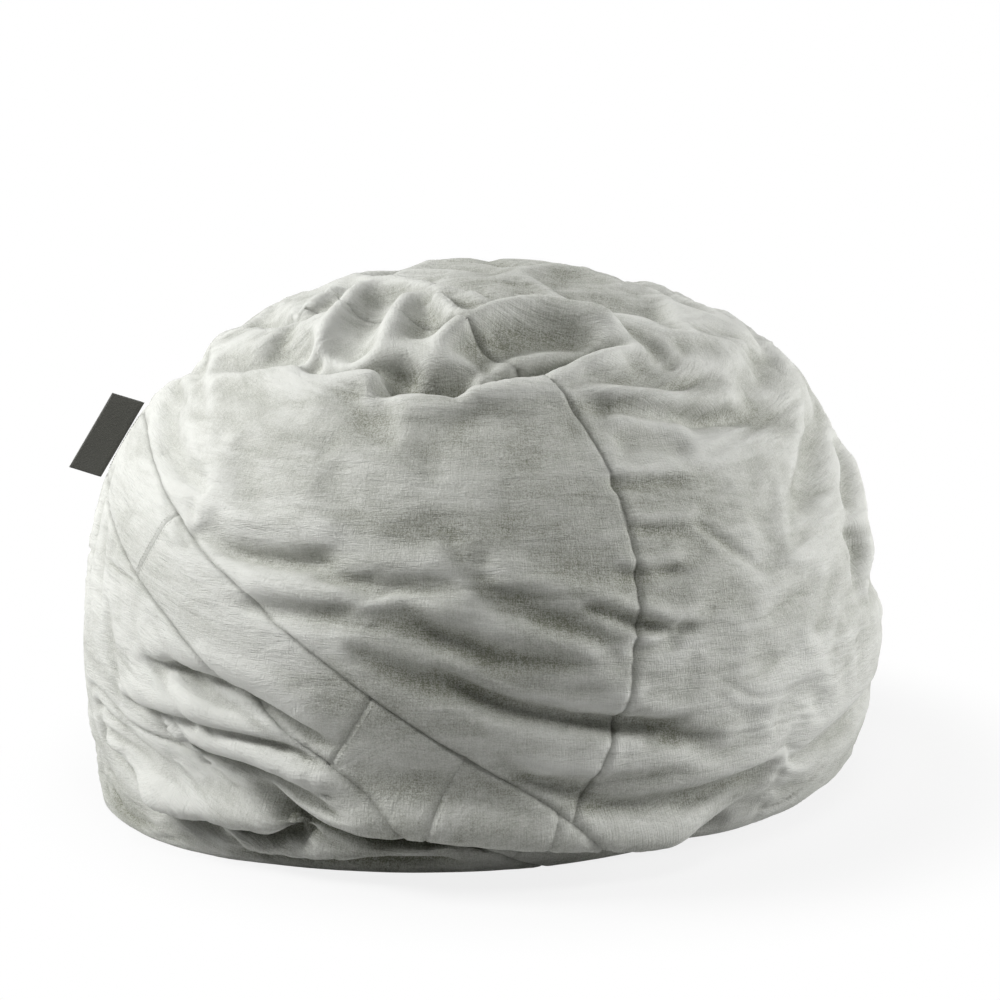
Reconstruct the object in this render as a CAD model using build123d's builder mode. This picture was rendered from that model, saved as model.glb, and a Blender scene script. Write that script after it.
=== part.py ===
# Bean bag chair: a round sewn cover with a band and a zip, a zipped liner and a foam filling.
# Origin on the floor under the middle of the bag, +Z up, +X to the right and -Y to the front. Millimetres.
import os
from math import atan2, cos, degrees, radians, sin, sqrt

from build123d import *

# outline of the stuffed bag
bag_diameter = 1050
bag_height = 670
belly_height = 222
heel_radius = 90
side_curve_share = 0.957

# cover panels
cover_thickness = 2
band_tilt = 32
band_azimuth = -10
band_drop = 62
band_width = 96
arch_angle = -36.5
arch_offset = 323
band_seams = {
    "band_left": -87,
    "band_left_front": -56,
    "band_front": -16,
    "band_front_short": -2,
    "band_front_low": 12,
    "band_under": 85,
    "band_rear": 180,
}

# the filling has rolled to the front left, where the foot stands out
foot_azimuth = -148
foot_radius = 400
foot_shift = 104
foot_height = 90
foot_edge_round = 26

# broad sag folds of the slack cover: hollows that run out at both ends, each set by the place of its
# middle round the bag and up the side curve, its slope, its depth and its length
fold_round = 55
cover_folds = {
    "front_sag": {"azimuth": -80, "angle": 1, "slope": -13, "depth": 13, "length": 380},
    "front_upper_sag": {"azimuth": -87, "angle": 12.5, "slope": -9, "depth": 11, "length": 340},
    "front_left_sag": {"azimuth": -119, "angle": 25, "slope": 2, "depth": 11, "length": 300},
    "front_overhang": {"azimuth": -80, "angle": -20.5, "slope": -6, "depth": 9, "length": 500},
    "base_left_upper": {"azimuth": -124, "angle": 0, "slope": -12, "depth": 13, "length": 340},
    "base_left_lower": {"azimuth": -127, "angle": -11.5, "slope": -12, "depth": 11, "length": 330},
    "crown_front": {"azimuth": -88, "angle": 58, "slope": 0, "depth": 16, "length": 340},
    "crown_left": {"azimuth": -140, "angle": 60, "slope": 25, "depth": 14, "length": 300},
    "shoulder_right": {"azimuth": -22, "angle": 34, "slope": 20, "depth": 12, "length": 310},
    "notch_right": {"azimuth": -42, "angle": 46, "slope": -6, "depth": 12, "length": 300},
    "right_sag": {"azimuth": -8, "angle": 8, "slope": -8, "depth": 13, "length": 380},
    "right_low": {"azimuth": -20, "angle": -12, "slope": 5, "depth": 10, "length": 360},
    "rear_upper": {"azimuth": 105, "angle": 38, "slope": 7, "depth": 15, "length": 400},
    "rear_middle": {"azimuth": 110, "angle": 16, "slope": -6, "depth": 14, "length": 430},
    "rear_sag": {"azimuth": 98, "angle": -4, "slope": 5, "depth": 13, "length": 420},
    "rear_low": {"azimuth": 110, "angle": -18, "slope": -3, "depth": 9, "length": 400},
    "rear_left_upper": {"azimuth": 152, "angle": 45, "slope": -10, "depth": 14, "length": 330},
    "rear_left_sag": {"azimuth": 156, "angle": 19, "slope": 8, "depth": 13, "length": 320},
    "left_sag": {"azimuth": 170, "angle": 2, "slope": -8, "depth": 13, "length": 420},
    "left_low": {"azimuth": 165, "angle": -14, "slope": 4, "depth": 10, "length": 380},
    "crown_rear": {"azimuth": 62, "angle": 60, "slope": -15, "depth": 14, "length": 300},
}

# side tag, one folded strip
tag_length = 112
tag_reach = 46
tag_leaf = 0.8
tag_fold_gap = 0.6
tag_root_clearance = 0.3
tag_hem = 2.5

# zip of the cover, on the side curve of the bag
zip_azimuth = 45
zip_low_angle = -14
zip_high_angle = 48
zip_inset_width = 22
zip_slot_width = 28
tape_thickness = 0.8
tape_depth = 1.2
tape_edge_gap = 4
tooth_pitch = 5
tooth_length = 2.6
tooth_height = 3
tooth_head_gap = 1.7
tooth_root_width = 6.4
stop_length = 5
stop_width = 9.6
stop_height = 5.6
tape_tail = 14

# slider and pull
slider_length = 24
slider_width = 15
slider_plate = 1.8
slider_clearance = 0.4
slider_web = 1
slider_web_length = 8
slider_edge_round = 0.6
pin_radius = 1
pin_bore_clearance = 0.08
eye_radius = 2.2
eye_width = 4.8
eye_side_clearance = 0.3
eye_floor_clearance = 0.3
lug_thickness = 1.5
pull_length = 36
pull_width = 8.5
pull_thickness = 1.8
pull_tab_start = 3.4
pull_hole_length = 9
pull_hole_width = 3.4

# liner and its coil zip
liner_slack = 16
liner_floor_gap = 0.3
liner_thickness = 1.2
liner_low_angle = -10
liner_high_angle = 42
liner_slot_width = 24
coil_height = 2.6
fill_gap = 0.4
fill_channel_width = 19
fill_channel_depth = 9

# centres and radii of the outline arcs that follow from the sizes above
bag_radius = bag_diameter / 2
crown_rise = bag_height - belly_height
side_radius = side_curve_share * crown_rise
side_centre = bag_radius - side_radius
crown_radius = (side_centre**2 + crown_rise**2 - side_radius**2) / (2 * (crown_rise - side_radius))
heel_drop = belly_height - heel_radius
base_radius = side_centre + sqrt((side_radius - heel_radius) ** 2 - heel_drop**2)
heel_angle = degrees(atan2(-heel_drop, base_radius - side_centre))
crown_angle = degrees(atan2(belly_height - bag_height + crown_radius, side_centre))

# the band is square to band_normal and crosses the upright middle line a little under the belly
band_normal = Vector(
    sin(radians(band_tilt)) * cos(radians(band_azimuth)),
    sin(radians(band_tilt)) * sin(radians(band_azimuth)),
    cos(radians(band_tilt)),
)
front = Vector(0, -1, 0)
band_forward = (front - band_normal * front.dot(band_normal)).normalized()
band_plane = Plane(origin=(0, 0, belly_height - band_drop), x_dir=band_forward, z_dir=band_normal)
liner_inset = cover_thickness + liner_slack
liner_drop = liner_slack - liner_floor_gap

os.makedirs("parts", exist_ok=True)


def bag_body(inset, drop=0):
    # solid of the bag outline, moved in by inset and down by drop
    floor = inset - drop
    with BuildPart() as body:
        with BuildSketch(Plane.XZ):
            with BuildLine():
                base = Line((0, floor), (base_radius, floor))
                CenterArc((base_radius, heel_radius - drop), heel_radius - inset, -90, 90 + heel_angle)
                CenterArc(
                    (side_centre, belly_height - drop), side_radius - inset, heel_angle, crown_angle - heel_angle
                )
                crown = CenterArc(
                    (0, bag_height - crown_radius - drop), crown_radius - inset, crown_angle, 90 - crown_angle
                )
                Line(crown @ 1, base @ 0)
            make_face()
        revolve(axis=Axis.Z)
    return body.part


def side_point(azimuth, angle):
    # place on the side curve, with the directions out of the bag and level round it
    round_out = Vector(cos(radians(azimuth)), sin(radians(azimuth)), 0)
    outward = round_out * cos(radians(angle)) + Vector(0, 0, sin(radians(angle)))
    place = round_out * side_centre + Vector(0, 0, belly_height) + outward * side_radius
    return place, outward, Vector(-round_out.Y, round_out.X, 0)


def fold_hollow(fold, inset):
    # ring that dips into the bag by the depth at its middle and leaves it at the ends of the length
    place, outward, level = side_point(fold["azimuth"], fold["angle"])
    along = level * cos(radians(fold["slope"])) + outward.cross(level) * sin(radians(fold["slope"]))
    bag_curve = cos(radians(fold["angle"])) / Vector(place.X, place.Y, 0).length
    ring_radius = 1 / (bag_curve - 8 * fold["depth"] / fold["length"] ** 2)
    centre = place + outward * (fold_round - fold["depth"] - ring_radius)
    ring_plane = Plane(origin=centre, x_dir=outward, z_dir=outward.cross(along))
    with BuildPart(ring_plane) as ring:
        Torus(ring_radius, fold_round + inset)
    return ring.part


def cover_body(inset):
    # bag outline with its foot and its folds
    foot_middle = Vector(cos(radians(foot_azimuth)), sin(radians(foot_azimuth)), 0) * foot_shift
    with BuildPart() as body:
        add(bag_body(inset))
        with BuildPart(Plane(origin=foot_middle + Vector(0, 0, inset)), mode=Mode.PRIVATE) as foot:
            Cylinder(foot_radius - inset, foot_height - inset, align=(Align.CENTER, Align.CENTER, Align.MIN))
            fillet(foot.edges().sort_by(Axis.Z)[0], foot_edge_round - inset)
        add(foot.part)
        add([fold_hollow(fold, inset) for fold in cover_folds.values()], mode=Mode.SUBTRACT)
    return body.part


def band_direction(angle):
    # unit vector out from the band's line at an angle from the front
    return band_plane.x_dir * cos(radians(angle)) + band_plane.y_dir * sin(radians(angle))


def seam_plane(angle):
    # plane holding the band's line; its positive side is the side of growing angle
    along = band_direction(angle)
    return Plane(origin=band_plane.origin, x_dir=along, z_dir=band_normal.cross(along))


def zip_frame(drop=0):
    # x out of the bag, y up, z across the zip; the origin is the centre of the side curve
    out = Vector(cos(radians(zip_azimuth)), sin(radians(zip_azimuth)), 0)
    centre = out * side_centre + Vector(0, 0, belly_height - drop)
    return Plane(origin=centre, x_dir=out, z_dir=(out.Y, -out.X, 0))


def strip(frame, inner, outer, start, end, left, right):
    # length of a rectangular bar bent round the side curve
    with BuildPart() as bar:
        with BuildSketch(frame.offset(left)):
            with BuildLine():
                low = CenterArc((0, 0), inner, start, end - start)
                high = CenterArc((0, 0), outer, start, end - start)
                Line(low @ 0, high @ 0)
                Line(low @ 1, high @ 1)
            make_face()
        extrude(amount=right - left)
    return bar.part


def slider_body(frame, chain_radius, chain_height, chain_width, middle):
    # two plates joined by a thin web, with a channel for the chain and slits for the tapes
    half = degrees(slider_length / 2 / chain_radius)
    web = degrees(slider_web_length / 2 / chain_radius)
    channel = chain_height / 2 + slider_clearance
    slit = tape_thickness / 2 + slider_clearance
    side = chain_width / 2 + slider_clearance
    reach = channel + slider_plate
    start, end = middle - half, middle + half
    with BuildPart() as body:
        add(strip(frame, chain_radius - reach, chain_radius + reach, start, end, -slider_width / 2, slider_width / 2))
        outer_edges = body.edges()
        fillet(outer_edges, slider_edge_round)
        add(
            strip(frame, chain_radius - channel, chain_radius + channel, start - half, end + half, -side, side),
            mode=Mode.SUBTRACT,
        )
        add(
            strip(
                frame, chain_radius - slit, chain_radius + slit, start - half, end + half, -slider_width, slider_width
            ),
            mode=Mode.SUBTRACT,
        )
        add(
            strip(
                frame,
                chain_radius - channel - slider_plate / 2,
                chain_radius + channel + slider_plate / 2,
                middle - web,
                middle + web,
                -slider_web / 2,
                slider_web / 2,
            )
        )
    return body.part


def save(part, name):
    part.label = name
    export_step(part, f"parts/{name}.step")


# cover: one shell cut into panels along the seams
bag_outer = bag_body(0)
cover_zip = zip_frame()
window_low = zip_low_angle - degrees(tape_tail / side_radius)
window_high = zip_high_angle + degrees(tape_tail / side_radius)
window_half = zip_slot_width / 2 + zip_inset_width
skin_low = side_radius - 5 * cover_thickness
skin_high = side_radius + 5 * cover_thickness

with BuildPart() as cover_shell:
    add(cover_body(0))
    add(cover_body(cover_thickness), mode=Mode.SUBTRACT)

band_top = band_plane.offset(band_width / 2)
band_bottom = band_plane.offset(-band_width / 2)
arch_plane = Plane(
    origin=band_plane.origin + band_direction(arch_angle) * arch_offset,
    x_dir=band_normal,
    z_dir=band_direction(arch_angle),
)

with BuildPart() as dome:
    add(cover_shell.part)
    split(bisect_by=band_top, keep=Keep.TOP)

with BuildPart() as front_dome_panel:
    add(dome.part)
    split(bisect_by=arch_plane, keep=Keep.TOP)
save(front_dome_panel.part, "front_dome_panel")

with BuildPart() as rear_dome_panel:
    add(dome.part)
    split(bisect_by=arch_plane, keep=Keep.BOTTOM)
    add(strip(cover_zip, skin_low, skin_high, window_low, window_high, -window_half, window_half), mode=Mode.SUBTRACT)
save(rear_dome_panel.part, "rear_dome_panel")

with BuildPart() as base_panel:
    add(cover_shell.part)
    split(bisect_by=band_bottom, keep=Keep.BOTTOM)
save(base_panel.part, "base_panel")

with BuildPart() as band_ring:
    add(cover_shell.part)
    split(bisect_by=band_top, keep=Keep.BOTTOM)
    split(bisect_by=band_bottom, keep=Keep.TOP)

names = list(band_seams)
for number, name in enumerate(names):
    following = names[(number + 1) % len(names)]
    with BuildPart() as band_piece:
        add(band_ring.part)
        split(bisect_by=seam_plane(band_seams[name]), keep=Keep.TOP)
        split(bisect_by=seam_plane(band_seams[following]), keep=Keep.BOTTOM)
    save(band_piece.part, name)

# strips of cover fabric on both sides of the zip
for name, left in (("zip_inset_right", -window_half), ("zip_inset_left", zip_slot_width / 2)):
    with BuildPart() as zip_inset:
        add(cover_shell.part)
        add(
            strip(cover_zip, skin_low, skin_high, window_low, window_high, left, left + zip_inset_width),
            mode=Mode.INTERSECT,
        )
    save(zip_inset.part, name)

# side tag, folded over and sewn into the first seam of the band
tag_line = band_direction(band_seams["band_left"])
crossings = bag_outer.find_intersection_points(Axis(band_plane.origin, tag_line))
tag_point, tag_out = max(crossings, key=lambda crossing: crossing[0].dot(tag_line))
tag_along = (band_normal - tag_out * band_normal.dot(tag_out)).normalized()
tag_half = tag_leaf + tag_fold_gap / 2
tag_axis_height = tag_half + tag_root_clearance
tag_plane = Plane(origin=tag_point + tag_out * tag_axis_height, x_dir=tag_out, z_dir=tag_along)

with BuildPart() as side_tag:
    with BuildSketch(tag_plane.offset(-tag_length / 2)):
        with Locations((tag_reach / 2, 0)):
            SlotCenterToCenter(tag_reach, 2 * tag_half)
        with Locations((tag_reach / 2 + tag_hem / 2, 0)):
            SlotCenterToCenter(tag_reach - tag_hem, tag_fold_gap, mode=Mode.SUBTRACT)
    extrude(amount=tag_length)
save(side_tag.part, "side_tag")


def tapes(frame, radius, low, high, slot_width, prefix):
    # two woven tapes that fill the slot from its sides to the middle gap
    inner, outer = radius - tape_thickness / 2, radius + tape_thickness / 2
    made = {}
    for side, left, right in (
        ("left", tape_edge_gap / 2, slot_width / 2),
        ("right", -slot_width / 2, -tape_edge_gap / 2),
    ):
        made[side] = strip(frame, inner, outer, low, high, left, right)
        save(made[side], f"{prefix}_tape_{side}")
    return made


def stops(frame, radius, low, high, height):
    # one block across the bottom of the chain and one on each tape at the top
    length = degrees(stop_length / radius)
    inner, outer = radius - height / 2, radius + height / 2
    with BuildPart() as bottom:
        add(strip(frame, inner, outer, low, low + length, -stop_width / 2, stop_width / 2))
    with BuildPart() as top:
        add(strip(frame, inner, outer, high - length, high, tooth_head_gap / 2, stop_width / 2))
        add(strip(frame, inner, outer, high - length, high, -stop_width / 2, -tooth_head_gap / 2))
    return bottom, top, low + length, high - length


# zip of the cover
chain_radius = side_radius - tape_depth
cover_tapes = tapes(cover_zip, chain_radius, window_low, window_high, zip_slot_width, "cover_zip")
cover_bottom, cover_top, chain_low, chain_high = stops(
    cover_zip, chain_radius, zip_low_angle, zip_high_angle, stop_height
)
for stop, name in ((cover_bottom, "cover_zip_bottom_stop"), (cover_top, "cover_zip_top_stops")):
    with BuildPart() as cut_stop:
        add(stop.part)
        add(cover_tapes["left"], mode=Mode.SUBTRACT)
        add(cover_tapes["right"], mode=Mode.SUBTRACT)
    save(cut_stop.part, name)

tooth_half_angle = degrees(tooth_length / 2 / chain_radius)
tooth_first = chain_low + 2 * tooth_half_angle
tooth_last = chain_high - 2 * tooth_half_angle
tooth_count = int(radians(tooth_last - tooth_first) * chain_radius / tooth_pitch) + 1
for side, left, right in (
    ("left", tooth_head_gap / 2, tooth_root_width / 2),
    ("right", -tooth_root_width / 2, -tooth_head_gap / 2),
):
    with BuildPart() as teeth:
        with BuildSketch(cover_zip.offset(left)):
            with PolarLocations(chain_radius, tooth_count, tooth_first, tooth_last - tooth_first, endpoint=True):
                Rectangle(tooth_height, tooth_length)
        extrude(amount=right - left)
        add(cover_tapes[side], mode=Mode.SUBTRACT)
    save(teeth.part, f"cover_zip_teeth_{side}")

# slider at the closed end of the chain, with lugs and a pin for the pull
slider_middle = chain_high - degrees((slider_length / 2 + slider_clearance) / chain_radius)
slider_out = Vector(cos(radians(slider_middle)), sin(radians(slider_middle)), 0)
slider_top = tooth_height / 2 + slider_clearance + slider_plate
pin_height = slider_top + eye_radius + eye_floor_clearance
pin_frame = Plane(
    origin=cover_zip.from_local_coords(slider_out * (chain_radius + pin_height)),
    x_dir=cover_zip.from_local_coords(slider_out) - cover_zip.origin,
    z_dir=cover_zip.z_dir,
)
lug_inner = eye_width / 2 + eye_side_clearance
lug_outer = lug_inner + lug_thickness

with BuildPart() as cover_zip_slider:
    add(slider_body(cover_zip, chain_radius, tooth_height, tooth_root_width, slider_middle))
    for left in (-lug_outer, lug_inner):
        with BuildSketch(pin_frame.offset(left)):
            Circle(eye_radius)
            with Locations((-pin_height / 2 + slider_top / 2 - slider_plate / 4, 0)):
                Rectangle(pin_height - slider_top + slider_plate / 2, 2 * eye_radius)
        extrude(amount=lug_thickness)
    with BuildSketch(pin_frame.offset(-lug_inner)):
        Circle(pin_radius)
    extrude(amount=2 * lug_inner)
save(cover_zip_slider.part, "cover_zip_slider")

with BuildPart() as cover_zip_pull:
    with BuildSketch(pin_frame.offset(-eye_width / 2)):
        Circle(eye_radius)
        with Locations((0, -(pull_tab_start + eye_radius) / 2)):
            Rectangle(pull_thickness, pull_tab_start + eye_radius)
        Circle(pin_radius + pin_bore_clearance, mode=Mode.SUBTRACT)
    extrude(amount=eye_width)
    with BuildSketch(Plane(pin_frame.origin - pin_frame.x_dir * pull_thickness / 2, pin_frame.y_dir, pin_frame.x_dir)):
        with Locations((-(pull_tab_start + pull_length) / 2, 0)):
            RectangleRounded(pull_length - pull_tab_start, pull_width, pull_width / 3)
        with Locations((-pull_length + pull_hole_length, 0)):
            SlotOverall(pull_hole_length, pull_hole_width, mode=Mode.SUBTRACT)
    extrude(amount=pull_thickness)
save(cover_zip_pull.part, "cover_zip_pull")

# liner: two halves with a coil zip in the seam between them
liner_zip = zip_frame(liner_drop)
liner_radius = side_radius - liner_inset
liner_chain_radius = liner_radius - liner_thickness / 2
liner_window_low = liner_low_angle - degrees(tape_tail / liner_radius)
liner_window_high = liner_high_angle + degrees(tape_tail / liner_radius)
liner_seam = Plane(origin=(0, 0, 0), x_dir=liner_zip.x_dir, z_dir=liner_zip.z_dir)

with BuildPart() as liner_shell:
    add(bag_body(liner_inset, liner_drop))
    add(bag_body(liner_inset + liner_thickness, liner_drop), mode=Mode.SUBTRACT)
    add(
        strip(
            liner_zip,
            liner_radius - 5 * liner_thickness,
            liner_radius + 5 * liner_thickness,
            liner_window_low,
            liner_window_high,
            -liner_slot_width / 2,
            liner_slot_width / 2,
        ),
        mode=Mode.SUBTRACT,
    )

for name, kept in (("liner_left", Keep.TOP), ("liner_right", Keep.BOTTOM)):
    with BuildPart() as liner_half:
        add(liner_shell.part)
        split(bisect_by=liner_seam, keep=kept)
    save(liner_half.part, name)

liner_tapes = tapes(
    liner_zip, liner_chain_radius, liner_window_low, liner_window_high, liner_slot_width, "liner_zip"
)
liner_bottom, liner_top, coil_low, coil_high = stops(
    liner_zip, liner_chain_radius, liner_low_angle, liner_high_angle, stop_height
)
for stop, name in ((liner_bottom, "liner_zip_bottom_stop"), (liner_top, "liner_zip_top_stops")):
    with BuildPart() as cut_stop:
        add(stop.part)
        add(liner_tapes["left"], mode=Mode.SUBTRACT)
        add(liner_tapes["right"], mode=Mode.SUBTRACT)
    save(cut_stop.part, name)

for side, left, right in (
    ("left", tooth_head_gap / 2, tooth_root_width / 2),
    ("right", -tooth_root_width / 2, -tooth_head_gap / 2),
):
    with BuildPart() as coil:
        add(
            strip(
                liner_zip,
                liner_chain_radius - coil_height / 2,
                liner_chain_radius + coil_height / 2,
                coil_low,
                coil_high,
                left,
                right,
            )
        )
        add(liner_tapes[side], mode=Mode.SUBTRACT)
    save(coil.part, f"liner_zip_coil_{side}")

liner_slider_middle = coil_high - degrees((slider_length / 2 + slider_clearance) / liner_chain_radius)
with BuildPart() as liner_zip_slider:
    add(slider_body(liner_zip, liner_chain_radius, coil_height, tooth_root_width, liner_slider_middle))
save(liner_zip_slider.part, "liner_zip_slider")

# filling, with a shallow channel behind the liner's zip
with BuildPart() as foam_fill:
    add(bag_body(liner_inset + liner_thickness + fill_gap, liner_drop))
    add(
        strip(
            liner_zip,
            liner_radius - fill_channel_depth,
            liner_radius + fill_channel_depth,
            liner_window_low,
            liner_window_high,
            -fill_channel_width / 2,
            fill_channel_width / 2,
        ),
        mode=Mode.SUBTRACT,
    )
save(foam_fill.part, "foam_fill")
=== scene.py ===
import math
import bpy
import bmesh
import numpy as np
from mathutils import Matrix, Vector, noise
from mathutils.bvhtree import BVHTree
from mathutils.geometry import barycentric_transform


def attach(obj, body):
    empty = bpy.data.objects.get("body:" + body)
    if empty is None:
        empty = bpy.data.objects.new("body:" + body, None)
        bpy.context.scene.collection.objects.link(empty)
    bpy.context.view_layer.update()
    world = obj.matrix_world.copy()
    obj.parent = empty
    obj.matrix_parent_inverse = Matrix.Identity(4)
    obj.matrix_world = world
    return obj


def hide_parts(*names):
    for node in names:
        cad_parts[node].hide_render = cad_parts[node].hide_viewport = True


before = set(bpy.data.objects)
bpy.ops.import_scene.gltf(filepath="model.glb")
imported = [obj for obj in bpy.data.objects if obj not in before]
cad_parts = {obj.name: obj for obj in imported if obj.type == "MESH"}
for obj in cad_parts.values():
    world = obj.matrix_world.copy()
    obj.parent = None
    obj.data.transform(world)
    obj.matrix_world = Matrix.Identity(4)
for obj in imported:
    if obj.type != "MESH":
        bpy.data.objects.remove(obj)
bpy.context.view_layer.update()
scene = bpy.context.scene
scene.view_settings.view_transform = "Standard"
print("frame loaded with", len(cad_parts), "nodes")


# the stuffed bag
bagForm = {
    "radius": 0.525,
    "height": 0.670,
    "belly": 0.222,
    "heel": 0.090,
    "sideShare": 0.957,  # side curve against the rise above the belly
    "cuts": 75,  # cuts across each face of the starting cube
    "footLeft": (-148, 38, 0.095),  # degrees round, spread, how far the foot stands out
    "footRight": (-45, 36, -0.045),
    "lift": 0.022,
    "pushes": [  # where, how wide, how far out
        ((-0.40, -0.20, 0.47), 0.11, -0.012),
        ((-0.40, 0.22, 0.46), 0.14, -0.016),
        ((0.37, -0.05, 0.58), 0.12, 0.018),
        ((-0.18, 0.25, 0.63), 0.20, -0.012),
        ((0.02, -0.50, 0.20), 0.18, 0.006),
    ],
}

# band and arch seam, as the panels are cut
seamPlan = {
    "tilt": 32,
    "azimuth": -10,
    "bandHeight": 0.160,
    "bandWidth": 0.096,
    "archAngle": -36.5,
    "archOffset": 0.323,
    "cross": {"band_left": -87, "band_left_front": -56, "band_front": -16, "band_front_short": -2,
              "band_front_low": 12, "band_under": 85, "band_rear": 180},
    "groove": 0.0045,
    "crossGroove": 0.0022,
    "grooveWidth": 0.0024,
    "pucker": 0.0022,  # tucks along the arch seam
    "hem": 0.010,
}

# zip at the rear right, on the side curve
zipPlan = {"azimuth": 45, "low": -14, "high": 48, "tail": 0.014, "inset": 0.022, "slot": 0.028}

# tag in the band's left seam
tagPlan = {"root": (-0.464549, -0.028381, 0.442781), "along": (0.515936, -0.092385, 0.851631),
           "out": (-0.856622, -0.052334, 0.513283), "length": 0.117, "reach": 0.041}

# broad sag folds, as in the cut shape: degrees round, degrees up the side curve, slope, depth, length
sagPlan = {
    "round": 0.055,
    "folds": {
        "frontSag": (-80, 1, -13, 0.013, 0.380),
        "frontUpperSag": (-87, 12.5, -9, 0.011, 0.340),
        "frontLeftSag": (-119, 25, 2, 0.011, 0.300),
        "frontOverhang": (-80, -20.5, -6, 0.009, 0.500),
        "baseLeftUpper": (-124, 0, -12, 0.013, 0.340),
        "baseLeftLower": (-127, -11.5, -12, 0.011, 0.330),
        "crownFront": (-88, 58, 0, 0.016, 0.340),
        "crownLeft": (-140, 60, 25, 0.014, 0.300),
        "shoulderRight": (-22, 34, 20, 0.012, 0.310),
        "notchRight": (-42, 46, -6, 0.012, 0.300),
        "rightSag": (-8, 8, -8, 0.013, 0.380),
        "rightLow": (-20, -12, 5, 0.010, 0.360),
        "rearUpper": (105, 38, 7, 0.015, 0.400),
        "rearMiddle": (110, 16, -6, 0.014, 0.430),
        "rearSag": (98, -4, 5, 0.013, 0.420),
        "rearLow": (110, -18, -3, 0.009, 0.400),
        "rearLeftUpper": (152, 45, -10, 0.014, 0.330),
        "rearLeftSag": (156, 19, 8, 0.013, 0.320),
        "leftSag": (170, 2, -8, 0.013, 0.420),
        "leftLow": (165, -14, 4, 0.010, 0.380),
        "crownRear": (62, 60, -15, 0.014, 0.300),
    },
}

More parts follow.
